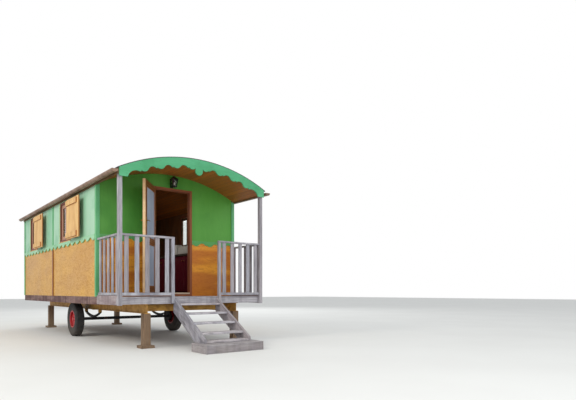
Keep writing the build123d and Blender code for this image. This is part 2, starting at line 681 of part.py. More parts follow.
def make_door():
    """Door frame, the leaf as it stands open, its hardware and the fixed hinge pins."""
    back = CABIN_FRONT + WALL
    rebate = DOOR_FACE + DOOR_LEAF + DOOR_GAP
    stop = DOOR_HALF - DOOR_STOP
    frame = block(-FRAME_HALF, FRAME_HALF, DOOR_FACE, back, DECK_TOP, FRAME_TOP)
    frame -= block(-DOOR_HALF, DOOR_HALF, DOOR_FACE - 1, rebate, DOOR_SILL, DOOR_HEAD)
    frame -= block(-stop, stop, DOOR_FACE - 1, back + 1, DOOR_SILL, DOOR_HEAD - DOOR_STOP)
    save("door_frame", [frame])

    pin_x = -DOOR_HALF
    pin_y = DOOR_FACE - DOOR_HINGE_PROUD
    swing = Pos(pin_x, pin_y, 0) * Rot(0, 0, -DOOR_OPEN_ANGLE) * Pos(-pin_x, -pin_y, 0)
    x0 = -DOOR_HALF + DOOR_GAP
    x1 = DOOR_HALF - DOOR_GAP
    z0 = DOOR_SILL + DOOR_GAP
    z1 = DOOR_HEAD - DOOR_GAP
    leaf = block(x0, x1, DOOR_FACE, DOOR_FACE + DOOR_LEAF, z0, z1)
    split = z0 + DOOR_MID_RAIL
    panels = ((z0 + DOOR_STILE, split - DOOR_STILE / 2), (split + DOOR_STILE / 2, z1 - DOOR_STILE))
    for low, high in panels:
        for y0 in (DOOR_FACE - 1, DOOR_FACE + DOOR_LEAF - DOOR_PANEL_RECESS):
            leaf -= block(x0 + DOOR_STILE, x1 - DOOR_STILE, y0, y0 + DOOR_PANEL_RECESS + 1, low, high)
    save("door_leaf", [swing * leaf])

    hardware = []
    grip_z = DECK_TOP + HANDLE_HEIGHT
    grip_x = x1 - HANDLE_INSET
    plate_half, plate_thick = (HANDLE_PLATE[0] / 2, HANDLE_PLATE[1])
    plate_low = grip_z - HANDLE_PLATE_REACH[0]
    plate_high = grip_z + HANDLE_PLATE_REACH[1]
    for face, out in ((DOOR_FACE, -1), (DOOR_FACE + DOOR_LEAF, 1)):
        plate_y = face + out * plate_thick
        plate = block(grip_x - plate_half, grip_x + plate_half, face, plate_y, plate_low, plate_high)
        neck = Rot(90, 0, 0) * Cylinder(HANDLE_NECK, HANDLE_STAND)
        lever = Rot(0, 90, 0) * Cylinder(HANDLE_GRIP, HANDLE_LEVER)
        lever_y = face + out * (HANDLE_STAND - HANDLE_GRIP)
        neck = Pos(grip_x, face + out * HANDLE_STAND / 2, grip_z) * neck
        lever = Pos(grip_x - HANDLE_LEVER / 2, lever_y, grip_z) * lever
        hardware.append(plate + neck + lever)
    pins = []
    half = DOOR_HINGE_LENGTH / 2
    barrel = Cylinder(DOOR_HINGE_BARREL, half - KNUCKLE_GAP)
    bore = Cylinder(DOOR_HINGE_PIN + HINGE_CLEARANCE, half + 2 * KNUCKLE_GAP)
    spindle = Cylinder(DOOR_HINGE_PIN, 2 * (half - KNUCKLE_GAP))
    near = DOOR_HINGE_BARREL - DOOR_HINGE_LAP
    sheet = DOOR_FACE - DOOR_HINGE_SHEET
    inset = KNUCKLE_GAP / 2
    lowest = DOOR_SILL + DOOR_HINGE_INSET
    highest = DOOR_HEAD - DOOR_HINGE_INSET
    flap_x = (pin_x + near, pin_x + DOOR_HINGE_FLAP)
    fixed_x = (pin_x - near, pin_x - DOOR_HINGE_FLAP)
    for z in (lowest, (lowest + highest) / 2, highest):
        upper_flap = block(*flap_x, sheet, DOOR_FACE, z + inset, z + half - inset)
        lower_flap = block(*fixed_x, sheet, DOOR_FACE, z - half + inset, z - inset)
        above = Pos(pin_x, pin_y, z + half / 2)
        below = Pos(pin_x, pin_y, z - half / 2)
        hardware.append(above * barrel + upper_flap - above * bore)
        pins.append(below * barrel + Pos(pin_x, pin_y, z) * spindle + lower_flap)
    save("door_hardware", [swing * piece for piece in hardware])
    return pins


def make_windows():
    """Wooden frames as deep as the wall, with a single pane each."""
    low = WINDOW_SILL + WINDOW_FRAME
    high = WINDOW_TOP - WINDOW_FRAME
    frames = []
    panes = []
    for side in (-1, 1):
        outer = side * HALF
        inner = side * (HALF - WALL)
        pane_out = side * (HALF - GLASS_SETBACK)
        pane_in = side * (HALF - GLASS_SETBACK - GLASS)
        for _, front, rear in window_spans():
            frame = block(inner, outer, front, rear, WINDOW_SILL, WINDOW_TOP)
            hole = (front + WINDOW_FRAME, rear - WINDOW_FRAME, low, high)
            frames.append(frame - block(inner - side, outer + side, *hole))
            panes.append(block(pane_in, pane_out, *hole))
    save("window_frames", frames)
    save("window_glass", panes)


def hinge_line(front):
    """Place along the wall of the pins for the shutter in front of a window."""
    return front - SHUTTER_HINGE_GAP


def shutter_boards(side, front):
    """Boarded shutter in its open place, flat beside the window, with two cross battens."""
    line = hinge_line(front)
    pin_x = side * (HALF + SHUTTER_HINGE_OUT)
    closed_in = HALF + SHUTTER_WALL_GAP + SHUTTER_BATTEN
    board_far = 2 * (HALF + SHUTTER_HINGE_OUT) - closed_in
    board_near = board_far - SHUTTER_BOARD
    y1 = line - SHUTTER_HINGE_GAP
    y0 = y1 - WINDOW_WIDTH
    shutter = block(side * board_near, side * board_far, y0, y1, SHUTTER_LOW, SHUTTER_TOP)
    batten_x = side * (board_far + SHUTTER_BATTEN)
    batten_y0 = y0 + SHUTTER_BATTEN_FREE_END
    batten_y1 = y1 - SHUTTER_BATTEN_HINGE_END
    highest = SHUTTER_TOP - SHUTTER_BATTEN_EDGE - SHUTTER_BATTEN_WIDTH
    for low in (SHUTTER_LOW + SHUTTER_BATTEN_EDGE, highest):
        high = low + SHUTTER_BATTEN_WIDTH
        shutter += block(side * board_far, batten_x, batten_y0, batten_y1, low, high)
    return shutter, pin_x, board_near


def strap_heights():
    """Heights of a shutter's two strap hinges."""
    return (SHUTTER_LOW + STRAP_INSET, SHUTTER_TOP - STRAP_INSET)


def shutter_straps(side, front, pin_x, board_near):
    """Two long strap hinges on the wall side of the open shutter, with eyes round the pins."""
    line = hinge_line(front)
    tip = line - STRAP_LENGTH
    half = STRAP_WIDTH / 2
    half_tip = STRAP_TIP / 2
    x0 = side * board_near - STRAP if side > 0 else side * board_near
    straps = []
    for z in strap_heights():
        outline = make_face(Curve() + [
            Line((line, z - half), (line, z + half)),
            Line((line, z + half), (tip, z + half_tip)),
            ThreePointArc((tip, z + half_tip), (tip - half_tip, z), (tip, z - half_tip)),
            Line((tip, z - half_tip), (line, z - half)),
        ])
        place = Pos(pin_x, line, z)
        eye = place * Cylinder(PINTLE_EYE, STRAP_WIDTH)
        bore = place * Cylinder(PINTLE_PIN + HINGE_CLEARANCE, 2 * STRAP_WIDTH)
        straps.append(sideways(outline, x0, STRAP) + eye - bore)
    return straps


def shutter_pintles(side, front):
    """Wall plates with an arm and an upright pin under each strap."""
    line = hinge_line(front)
    wall = side * HALF
    pin_x = side * (HALF + SHUTTER_HINGE_OUT)
    half = STRAP_WIDTH / 2
    half_plate = PINTLE_HEIGHT / 2
    plate_x = wall + side * PINTLE_PLATE
    plate_end = line + SHUTTER_HINGE_GAP - KNUCKLE_GAP
    pintles = []
    for z in strap_heights():
        low = z - half - HINGE_CLEARANCE
        plate = block(wall, plate_x, line - half, plate_end, z - half_plate, z + half_plate)
        arm = block(wall, pin_x, line - PINTLE_PIN, line + PINTLE_PIN, low - PINTLE_ARM, low)
        round_end = Pos(pin_x, line, low - PINTLE_ARM / 2) * Cylinder(PINTLE_EYE, PINTLE_ARM)
        pin = Pos(pin_x, line, z) * Cylinder(PINTLE_PIN, STRAP_WIDTH + 2 * PINTLE_PIN_PROUD)
        pintles.append(plate + arm + round_end + pin)
    return pintles


def make_shutters(door_pins):
    """Four shutters on their own strap hinges, and all the pins fixed to the wagon."""
    pins = list(door_pins)
    for wall_name, side in (("left", -1), ("right", 1)):
        for place, front in WINDOW_FRONTS.items():
            name = wall_name + "_" + place
            shutter, pin_x, board_near = shutter_boards(side, front)
            save("shutter_" + name, [shutter])
            save("straps_" + name, shutter_straps(side, front, pin_x, board_near))
            pins += shutter_pintles(side, front)
    save("hinge_pins", pins)


def make_gutters():
    """Half-round gutters along both eaves, hung on brackets."""
    front = -FASCIA_BOARD - GUTTER_FRONT_LAP
    rear = ROOF_REAR + FASCIA_BOARD
    z = GUTTER_RIM
    length = rear - front
    wide = 2 * GUTTER_RADIUS
    trough = Rot(90, 0, 0) * Cylinder(GUTTER_RADIUS, length)
    trough -= Rot(90, 0, 0) * Cylinder(GUTTER_RADIUS - GUTTER_WALL, length - 2 * GUTTER_WALL)
    trough -= block(-wide, wide, -length, length, 0, wide)
    count = round((ROOF_REAR - 2 * GUTTER_BRACKET) / GUTTER_BRACKET_PITCH)
    gutters = []
    for side in (-1, 1):
        eave = side * (HALF + EAVE_BOARD)
        inner = eave + side * (GUTTER_GAP + GUTTER_WALL)
        gutter = Pos(eave + side * (GUTTER_GAP + GUTTER_RADIUS), (front + rear) / 2, z) * trough
        for index in range(count + 1):
            y0 = GUTTER_BRACKET + (ROOF_REAR - 3 * GUTTER_BRACKET) * index / count
            gutter += block(eave, inner, y0, y0 + GUTTER_BRACKET, z - GUTTER_BRACKET, z)
        gutters.append(gutter)
    save("gutters", gutters)


def stringer_face():
    """Side of the steps in Y and Z: sloping edges with plumb and level cuts."""
    def upper(y):
        return DECK_TOP - STRINGER_START + SLOPE * y

    level = DECK_TOP - STRINGER_TOP
    knee = (level - upper(0)) / SLOPE
    heel = (PLATFORM_TOP + STRINGER_DEPTH - upper(0)) / SLOPE
    points = [
        (POST_BACK, level), (knee, level), (STRINGER_FOOT, upper(STRINGER_FOOT)),
        (STRINGER_FOOT, PLATFORM_TOP), (heel, PLATFORM_TOP), (POST_BACK, upper(POST_BACK) - STRINGER_DEPTH),
    ]
    return make_face(Polyline(*points, close=True))


def make_steps():
    """Open steps: two stringers, treads between them and a low platform on the ground."""
    half = STEP_WIDTH / 2
    stringer = sideways(stringer_face(), half, STRINGER)
    save("step_stringers", [stringer, Pos(-STEP_WIDTH - STRINGER, 0, 0) * stringer])
    treads = []
    for index in range(TREAD_COUNT):
        top = DECK_TOP - FIRST_TREAD - index * STEP_RISE
        nose = (top - DECK_TOP + STRINGER_START) / SLOPE + TREAD / 2
        back = min(nose + TREAD_DEPTH, POST_BACK)
        treads.append(block(-half, half, nose, back, top - TREAD, top))
    rear = STRINGER_FOOT + TREAD_DEPTH
    treads.append(block(-half, half, STRINGER_FOOT, rear, PLATFORM_TOP, PLATFORM_TOP + TREAD))
    save("step_treads", treads)
    wide = PLATFORM_WIDTH / 2
    deck = PLATFORM_TOP - PLATFORM_BOARD
    platform = block(-wide, wide, PLATFORM_FRONT, PLATFORM_REAR, 0, deck)
    inner = wide - PLATFORM_FRAME
    front = PLATFORM_FRONT + PLATFORM_FRAME
    rear = PLATFORM_REAR - PLATFORM_FRAME
    platform -= block(-inner, inner, front, rear, -1, deck + 1)
    pitch = (PLATFORM_REAR - PLATFORM_FRONT + DECK_GAP) / PLATFORM_BOARDS
    for index in range(PLATFORM_BOARDS):
        y0 = PLATFORM_FRONT + index * pitch
        platform += block(-wide, wide, y0, y0 + pitch - DECK_GAP, deck, PLATFORM_TOP)
    save("step_platform", [platform])


def channel(half_length, y, z0, z1):
    """Cross member of channel section between the rails' webs."""
    bar = block(-half_length, half_length, y, y + CROSS_FLANGE, z0, z1)
    reach = half_length + 1
    inner = y + CROSS_THICK
    return bar - block(-reach, reach, inner, inner + CROSS_FLANGE, z0 + CROSS_THICK, z1 - CROSS_THICK)


def make_chassis():
    """Two I-beam rails, channel cross members, timber props, drawbar and towing eye."""
    half_flange = RAIL_FLANGE / 2
    rails = []
    for side in (-1, 1):
        x = side * RAIL_X
        rail = block(x - half_flange, x + half_flange, RAIL_FRONT, RAIL_REAR, RAIL_BOTTOM_Z, RAIL_TOP_Z)
        low = RAIL_BOTTOM_Z + RAIL_FLANGE_THICK
        high = RAIL_TOP_Z - RAIL_FLANGE_THICK
        for cheek in (-1, 1):
            x0 = x + cheek * RAIL_WEB / 2
            rail -= block(x0, x + cheek * (half_flange + 1), RAIL_FRONT - 1, RAIL_REAR + 1, low, high)
        rails.append(rail)
    save("chassis_rails", rails)
    between = RAIL_X - RAIL_WEB / 2
    z0 = (RAIL_BOTTOM_Z + RAIL_TOP_Z - CROSS_DEPTH) / 2
    members = [channel(between, y, z0, z0 + CROSS_DEPTH) for y in CROSS_PLACES]
    save("cross_members", members)
    props = []
    for y in PROP_PLACES:
        for side in (-1, 1):
            x = side * RAIL_X
            half = PROP / 2
            pad = PROP_PAD / 2
            prop = block(x - half, x + half, y - half, y + half, PROP_PAD_THICK, RAIL_BOTTOM_Z)
            prop += block(x - pad, x + pad, y - pad, y + pad, 0, PROP_PAD_THICK)
            props.append(prop)
    save("props", props)


def make_drawbar():
    """A-frame of square tube from the rails' rear ends to the towing eye."""
    web = RAIL_X - RAIL_WEB / 2
    half = DRAWBAR_TUBE / 2
    z = EYE_HEIGHT
    front_of_eye = DRAWBAR_HEAD + half
    along = DRAWBAR_HEAD - DRAWBAR_ROOT
    across = web - half - DRAWBAR_SPREAD
    length = math.hypot(along, across) + DRAWBAR_TUBE
    arm = Pos(-length / 2, 0, 0) * Box(length, DRAWBAR_TUBE, DRAWBAR_TUBE)
    turn = math.degrees(math.atan2(along, -across))
    right = Pos(DRAWBAR_SPREAD, DRAWBAR_HEAD, z) * (Rot(0, 0, turn) * arm)
    keep = block(-web, web, DRAWBAR_ROOT, front_of_eye, z - half, z + half)
    wide = DRAWBAR_SPREAD + half
    head = block(-wide, wide, DRAWBAR_HEAD - 2 * DRAWBAR_TUBE, front_of_eye, z - half, z + half)
    save("drawbar", [((right + mirror(right, Plane.YZ)) & keep) + head])
    ring = Pos(0, EYE_CENTRE, z) * Cylinder(EYE_RING, EYE_THICK)
    shank_half = DRAWBAR_SHANK / 2
    thick = EYE_THICK / 2
    shank = block(-shank_half, shank_half, front_of_eye, EYE_CENTRE, z - thick, z + thick)
    bore = Pos(0, EYE_CENTRE, z) * Cylinder(EYE_BORE, 2 * EYE_THICK)
    save("towing_eye", [ring + shank - bore])


def make_axle():
    """Square axle with spindles and drums, on a stack of curved leaves at each side."""
    half = AXLE_TUBE / 2
    z = TYRE_RADIUS
    drum_face = WHEEL_X - RIM_HALF_WIDTH - BRAKE_DRUM_GAP
    drum_back = drum_face - BRAKE_DRUM_WIDTH
    axle = block(-drum_back, drum_back, AXLE_PLACE - half, AXLE_PLACE + half, z - half, z + half)
    for side in (-1, 1):
        drum_x = side * (drum_back + drum_face) / 2
        axle += Pos(drum_x, AXLE_PLACE, z) * (Rot(0, 90, 0) * Cylinder(BRAKE_DRUM, BRAKE_DRUM_WIDTH))
        tip = WHEEL_X + SPINDLE_TIP
        spindle = Rot(0, 90, 0) * Cylinder(SPINDLE, tip - drum_face)
        axle += Pos(side * (drum_face + tip) / 2, AXLE_PLACE, z) * spindle
    save("axle", [axle])

    span = SPRING_SPAN / 2
    radius = (span**2 + SPRING_SAG**2) / (2 * SPRING_SAG)
    seat = z + half
    stack = len(LEAF_SHARES) * SPRING_LEAF
    centre_z = seat + stack + radius
    springs = []
    hangers = []

    def leaf_point(bend, angle):
        return (AXLE_PLACE + bend * math.sin(angle), centre_z - bend * math.cos(angle))

    for side in (-1, 1):
        x0 = side * SPRING_X - SPRING_WIDTH / 2
        spring = None
        for index, share in enumerate(LEAF_SHARES):
            inner = radius + index * SPRING_LEAF
            outer = inner + SPRING_LEAF
            angle = math.asin(span * share / radius)
            low = (leaf_point(outer, -angle), leaf_point(outer, 0), leaf_point(outer, angle))
            high = (leaf_point(inner, angle), leaf_point(inner, 0), leaf_point(inner, -angle))
            leaf = make_face(Curve() + [
                ThreePointArc(*low), Line(low[2], high[0]), ThreePointArc(*high), Line(high[2], low[0]),
            ])
            plate = sideways(leaf, x0, SPRING_WIDTH)
            spring = plate if spring is None else spring + plate
        springs.append(spring)
        tip_z = leaf_point(radius, math.asin(span / radius))[1]
        plate_x = side * (RAIL_X + RAIL_FLANGE / 2)
        inner_x = side * (SPRING_X - SPRING_WIDTH / 2)
        spring_out = side * (SPRING_X + SPRING_WIDTH / 2)
        for end in (-span, span):
            y0 = AXLE_PLACE + end - HANGER / 2
            y1 = y0 + HANGER
            hanger = block(inner_x, plate_x, y0, y1, RAIL_BOTTOM_Z - HANGER_WALL, RAIL_BOTTOM_Z)
            hangers.append(hanger + block(inner_x, spring_out, y0, y1, tip_z, RAIL_BOTTOM_Z))
    save("leaf_springs", springs)
    save("spring_hangers", hangers)


def rim_solid():
    """Rim with lips and bead seats, a disc with hand holes, a hub with its cap and the wheel nuts."""
    half = RIM_HALF_WIDTH
    bore = SPINDLE + HINGE_CLEARANCE
    barrel = RIM_SEAT - RIM_SHEET
    back = DISC_PLACE - DISC_SHEET
    dome = [(HUB_FRONT + out, HUB_CAP_RADIUS - drop) for out, drop in HUB_CAP_DOME]
    points = [
        (-half, RIM_RADIUS), (-BEAD_HALF, RIM_SEAT), (BEAD_HALF, RIM_SEAT), (half, RIM_RADIUS), (half, barrel),
        (DISC_PLACE, barrel), (DISC_PLACE, HUB_RADIUS), (HUB_FRONT, HUB_RADIUS), (HUB_FRONT, HUB_CAP_RADIUS),
        *dome, (dome[-1][0], 0), (HUB_FRONT, 0), (HUB_FRONT, bore), (-HUB_BACK, bore),
        (-HUB_BACK, HUB_RADIUS), (back, HUB_RADIUS), (back, barrel), (-half, barrel),
    ]
    rim = revolve(make_face(Polyline(*points, close=True)), Axis.X)
    nut = Rot(0, 90, 0) * Cylinder(LUG_RADIUS, LUG_LENGTH)
    hole = Rot(0, 90, 0) * Cylinder(HAND_HOLE_RADIUS, 4 * DISC_SHEET)
    for index in range(LUG_COUNT):
        angle = 2 * math.pi * index / LUG_COUNT
        place = Pos(DISC_PLACE, LUG_CIRCLE * math.cos(angle), LUG_CIRCLE * math.sin(angle))
        rim += place * nut
    for index in range(HAND_HOLES):
        angle = 2 * math.pi * index / HAND_HOLES
        place = Pos(DISC_PLACE, HAND_HOLE_CIRCLE * math.cos(angle), HAND_HOLE_CIRCLE * math.sin(angle))
        rim -= place * hole
    return rim


def tyre_solid():
    """Tyre with side walls that lean out to their widest place, bevelled shoulders and a plain tread."""
    wide = TYRE_WIDTH / 2
    inset, drop = SHOULDER
    right = [(BEAD_HALF, RIM_SEAT), (wide, TYRE_RADIUS - drop), (wide - inset, TYRE_RADIUS)]
    left = [(-x, z) for x, z in reversed(right)]
    return revolve(make_face(Polyline(*right, *left, close=True)), Axis.X)


def make_wheels():
    """Steel wheel and road tyre at each side of the axle."""
    rim = rim_solid()
    tyre = tyre_solid()
    for label, side in (("left", -1), ("right", 1)):
        turn = Rot(0, 0, 180) if side < 0 else Rot(0, 0, 0)
        place = Pos(side * WHEEL_X, AXLE_PLACE, TYRE_RADIUS) * turn
        save("wheel_rim_" + label, [place * rim])
        save("tyre_" + label, [place * tyre])


def tapered(width, y, z, height, taper):
    """Square column standing on a level, its sides leaning in by an angle."""
    return extrude(Plane(origin=(0, y, z)) * Rectangle(width, width), height, taper=taper)


def make_lamp():
    """Square carriage lamp on a wall bracket over the door."""
    y = CABIN_FRONT - LAMP_STAND
    z0 = FRAME_TOP + LAMP_OVER_FRAME
    body_low = z0 + LAMP_FOOT
    ceiling = ARCH_CENTRE + SOFFIT
    body_high = ceiling - LAMP_AIR - LAMP_KNOB_HEIGHT - LAMP_ROOF
    height = body_high - body_low
    lean = -math.degrees(math.atan2((LAMP_TOP_WIDTH - LAMP_FOOT_WIDTH) / 2, height))
    hollow = LAMP_FOOT_WIDTH - 2 * LAMP_SHEET
    half = LAMP_FOOT_WIDTH / 2
    cage = tapered(LAMP_FOOT_WIDTH, y, body_low, height, lean) - tapered(hollow, y, body_low, height, lean)
    light = LAMP_FOOT_WIDTH - 3 * LAMP_BAR
    for turn in (0, 90):
        slot = Rot(0, 0, turn) * Box(light, 2 * LAMP_TOP_WIDTH, height - 2 * LAMP_BAR)
        cage -= Pos(0, y, (body_low + body_high) / 2) * slot
    cage += block(-half, half, y - half, y + half, z0, body_low)
    cage += tapered(LAMP_TOP_WIDTH + 2 * LAMP_ROOF_LAP, y, body_high, LAMP_ROOF, LAMP_ROOF_TAPER)
    knob_z = body_high + LAMP_ROOF + LAMP_KNOB_HEIGHT / 2
    cage += Pos(0, y, knob_z) * Cylinder(LAMP_KNOB, LAMP_KNOB_HEIGHT)
    cage += block(-LAMP_ARM, LAMP_ARM, y, CABIN_FRONT, z0, body_low)
    plate_y = CABIN_FRONT - LAMP_PLATE
    cage += block(-LAMP_PLATE_HALF, LAMP_PLATE_HALF, plate_y, CABIN_FRONT, z0, z0 + LAMP_PLATE_HEIGHT)
    save("lamp", [cage])


def make_kitchen():
    """Cupboards along the right wall, with doors on their front and a dark worktop."""
    x1 = HALF - WALL
    x0 = x1 - KITCHEN_DEPTH
    y0 = CABIN_FRONT + KITCHEN_FROM_FRONT
    y1 = y0 + KITCHEN_LENGTH
    floor = DECK_TOP + FLOOR_TOP
    under = DECK_TOP + KITCHEN_TOP - WORKTOP
    z0 = floor + KITCHEN_PLINTH
    cupboard = block(x0 + KITCHEN_DOOR_THICK, x1, y0, y1, z0, under)
    cupboard += block(x0 + 3 * KITCHEN_DOOR_THICK, x1, y0, y1, floor, z0)
    width = KITCHEN_LENGTH / KITCHEN_DOORS
    for index in range(KITCHEN_DOORS):
        low = y0 + index * width + KITCHEN_REVEAL / 2
        high = low + width - KITCHEN_REVEAL
        cupboard += block(x0, x0 + KITCHEN_DOOR_THICK, low, high, z0, under - KITCHEN_REVEAL)
    save("kitchen_cupboard", [cupboard])
    save("kitchen_worktop", [block(x0 - WORKTOP_LAP, x1, y0, y1, under, under + WORKTOP)])


make_roof()
make_side_walls()
make_end_walls()
make_trim()
make_floor()
make_porch()
make_railings()
fixed_pins = make_door()
make_windows()
make_shutters(fixed_pins)
make_gutters()
make_steps()
make_chassis()
make_drawbar()
make_axle()
make_wheels()
make_lamp()
make_kitchen()
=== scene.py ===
import logging
import math
from dataclasses import dataclass, field
from enum import Enum
from functools import lru_cache
from typing import Callable, Optional, Sequence, Union

import bmesh
import bpy
import numpy as np
from mathutils import Matrix, Vector


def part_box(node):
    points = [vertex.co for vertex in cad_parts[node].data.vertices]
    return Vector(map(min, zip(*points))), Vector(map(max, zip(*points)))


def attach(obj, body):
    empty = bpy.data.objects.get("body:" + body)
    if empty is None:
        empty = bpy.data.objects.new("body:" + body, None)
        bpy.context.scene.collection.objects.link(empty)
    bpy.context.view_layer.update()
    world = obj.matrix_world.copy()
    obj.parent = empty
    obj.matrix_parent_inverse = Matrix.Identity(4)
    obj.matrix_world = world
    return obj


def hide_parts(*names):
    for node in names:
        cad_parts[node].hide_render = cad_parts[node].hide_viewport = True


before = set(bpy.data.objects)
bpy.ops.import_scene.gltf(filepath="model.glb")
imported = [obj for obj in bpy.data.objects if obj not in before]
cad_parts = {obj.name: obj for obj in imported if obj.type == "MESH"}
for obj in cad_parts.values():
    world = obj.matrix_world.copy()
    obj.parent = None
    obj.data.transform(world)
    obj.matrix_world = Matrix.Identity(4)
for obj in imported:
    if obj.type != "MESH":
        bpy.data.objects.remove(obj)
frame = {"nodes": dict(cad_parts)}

# A living wagon with an arched roof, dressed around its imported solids, in metres.
# X points to the right as seen from the porch, Y from the porch to the towing eye, Z up.
# A finish's colour is three numbers from 0 to 255, as it is seen. A light's is linear, from 0 to 1.

LOG = logging.getLogger("wagon")
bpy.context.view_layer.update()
SEED = 17
PHOTO_SIZE = (576, 400)
PORCH_LINE = -3.3313
SIDES = (("left", -1), ("right", 1))
LINING = (116, 70, 36)
LINING_DARK = (70, 40, 20)
UP = (0.0, 0.0, 1.0)
FORWARD = (0.0, -1.0, 0.0)
REARWARD = (0.0, 1.0, 0.0)
Socket = bpy.types.NodeSocket
Value = Union[float, tuple, Socket]


def paint(red: float, green: float, blue: float) -> tuple:
    """Linear colour of a finish that looks like these values.

    Args:
        red: Red as seen, from 0 to 255.
        green: Green as seen.
        blue: Blue as seen.

    Returns:
        The colour with an alpha of 1.
    """
    seen = np.array([red, green, blue]) / 255.0
    linear = np.where(seen <= 0.04045, seen / 12.92, ((seen + 0.055) / 1.055) ** 2.4)
    return (*[float(part) for part in linear], 1.0)


class Grain(Enum):
    """Axis that the wood's fibres follow, or the boards' own stored places."""

    ALONG_X = "XYZ"
    ALONG_Y = "YXZ"
    ALONG_Z = "ZXY"
    ON_BOARD = "board"


class Book:
    """A node tree with short calls for the nodes that the finishes use."""

    def __init__(self, tree: bpy.types.NodeTree) -> None:
        """Keep the tree to write in."""
        self.tree = tree

    def feed(self, socket: Socket, value: Value) -> None:
        """Link a socket to another one, or write a value in it.

        Args:
            socket: The socket to feed.
            value: An output, a number, a vector, or a colour as seen for a colour socket.
        """
        if isinstance(value, Socket):
            self.tree.links.new(value, socket)
        elif socket.type == "RGBA" and len(value) == 3:
            socket.default_value = paint(*value)
        else:
            socket.default_value = value

    def node(self, kind: str, *values: Value, **settings: object) -> bpy.types.Node:
        """Add a node and feed it.

        Args:
            kind: The node's type without its ShaderNode prefix.
            values: What feeds its first sockets, in order.
            settings: Its properties by name, and its sockets by a name that starts with a capital letter
                and has underscores for spaces.

        Returns:
            The new node.
        """
        made = self.tree.nodes.new("ShaderNode" + kind)
        for key, value in settings.items():
            if key[0].isupper():
                self.feed(made.inputs[key.replace("_", " ")], value)
            else:
                setattr(made, key, value)
        for socket, value in zip(made.inputs, values):
            self.feed(socket, value)
        return made

    def calc(self, operation: str, *values: Value) -> Socket:
        """Math node of one operation on up to three values."""
        return self.node("Math", *values, operation=operation).outputs[0]

    def times(self, first: Value, *others: Value) -> Socket:
        """Product of two or more values.

        Args:
            first: First factor.
            others: The other factors.

        Returns:
            The product's socket.
        """
        for other in others:
            first = self.calc("MULTIPLY", first, other)
        return first

    def within(self, value: Value, low: float, high: float) -> Socket:
        """One where a value lies between two bounds, zero elsewhere."""
        return self.times(self.calc("GREATER_THAN", value, low), self.calc("LESS_THAN", value, high))

    def stretch(self, vector: Value, scale: tuple) -> Socket:
        """Vector scaled along each of its axes."""
        return self.node("VectorMath", vector, scale, operation="MULTIPLY").outputs[0]

    def dot(self, first: Value, second: Value) -> Socket:
        """Dot product of two vectors, the cosine of the angle between two normals."""
        return self.node("VectorMath", first, second, operation="DOT_PRODUCT").outputs["Value"]

    def noise(self, vector: Value, scale: float = 1.0, detail: float = 3.0, warp: float = 0.0) -> Socket:
        """Cloudy value from 0 to 1 at a place.

        Args:
            vector: The place.
            scale: Clouds per metre.
            detail: Number of finer layers.
            warp: How far the pattern is bent by itself.

        Returns:
            The value's socket.
        """
        return self.node("TexNoise", vector, Scale=scale, Detail=detail, Distortion=warp).outputs["Fac"]

    def ease(self, value: Value, low: float, high: float,
             out_low: float = 0.0, out_high: float = 1.0) -> Socket:
        """Smooth step of a value between two bounds, mapped to two results."""
        return self.node("MapRange", value, low, high, out_low, out_high,
                         interpolation_type="SMOOTHSTEP").outputs[0]

    def mix(self, share: Value, low: Value, high: Value) -> Socket:
        """Colour between two colours.

        Args:
            share: 0 gives the first and 1 the second.
            low: First colour.
            high: Second colour.

        Returns:
            The mixed colour's socket.
        """
        made = self.node("Mix", share, data_type="RGBA")
        self.feed(made.inputs[6], low)
        self.feed(made.inputs[7], high)
        return made.outputs[2]

    def parts(self, vector: Value) -> list:
        """The three numbers of a vector."""
        return list(self.node("SeparateXYZ", vector).outputs)

    def vector(self, *values: Value) -> Socket:
        """Vector made of three numbers."""
        return self.node("CombineXYZ", *values).outputs[0]


class GroupBook(Book):
    """A shared node group that starts from a place."""

    def __init__(self, name: str, **inputs: float) -> None:
        """Start the group with a place as its first input.

        Args:
            name: The group's name.
            inputs: Its numbers by name, with their defaults.
        """
        super().__init__(bpy.data.node_groups.new(name, "ShaderNodeTree"))
        self.open("Vector", "INPUT")
        for key, value in inputs.items():
            self.open(key, "INPUT").default_value = value
        self.source = self.tree.nodes.new("NodeGroupInput").outputs
        self.place = self.source["Vector"]

    def open(self, key: str, side: str) -> bpy.types.NodeTreeInterfaceSocket:
        """Add a socket to one side, a vector for a place or a normal and a number for all others."""
        kind = "NodeSocketVector" if key in ("Vector", "Normal") else "NodeSocketFloat"
        return self.tree.interface.new_socket(key, in_out=side, socket_type=kind)

    def answer(self, **outputs: Socket) -> bpy.types.NodeTree:
        """Close the group.

        Args:
            outputs: What it puts out, by name.

        Returns:
            Its tree.
        """
        for key in outputs:
            self.open(key, "OUTPUT")
        result = self.tree.nodes.new("NodeGroupOutput").inputs
        for key, value in outputs.items():
            self.feed(result[key], value)
        return self.tree


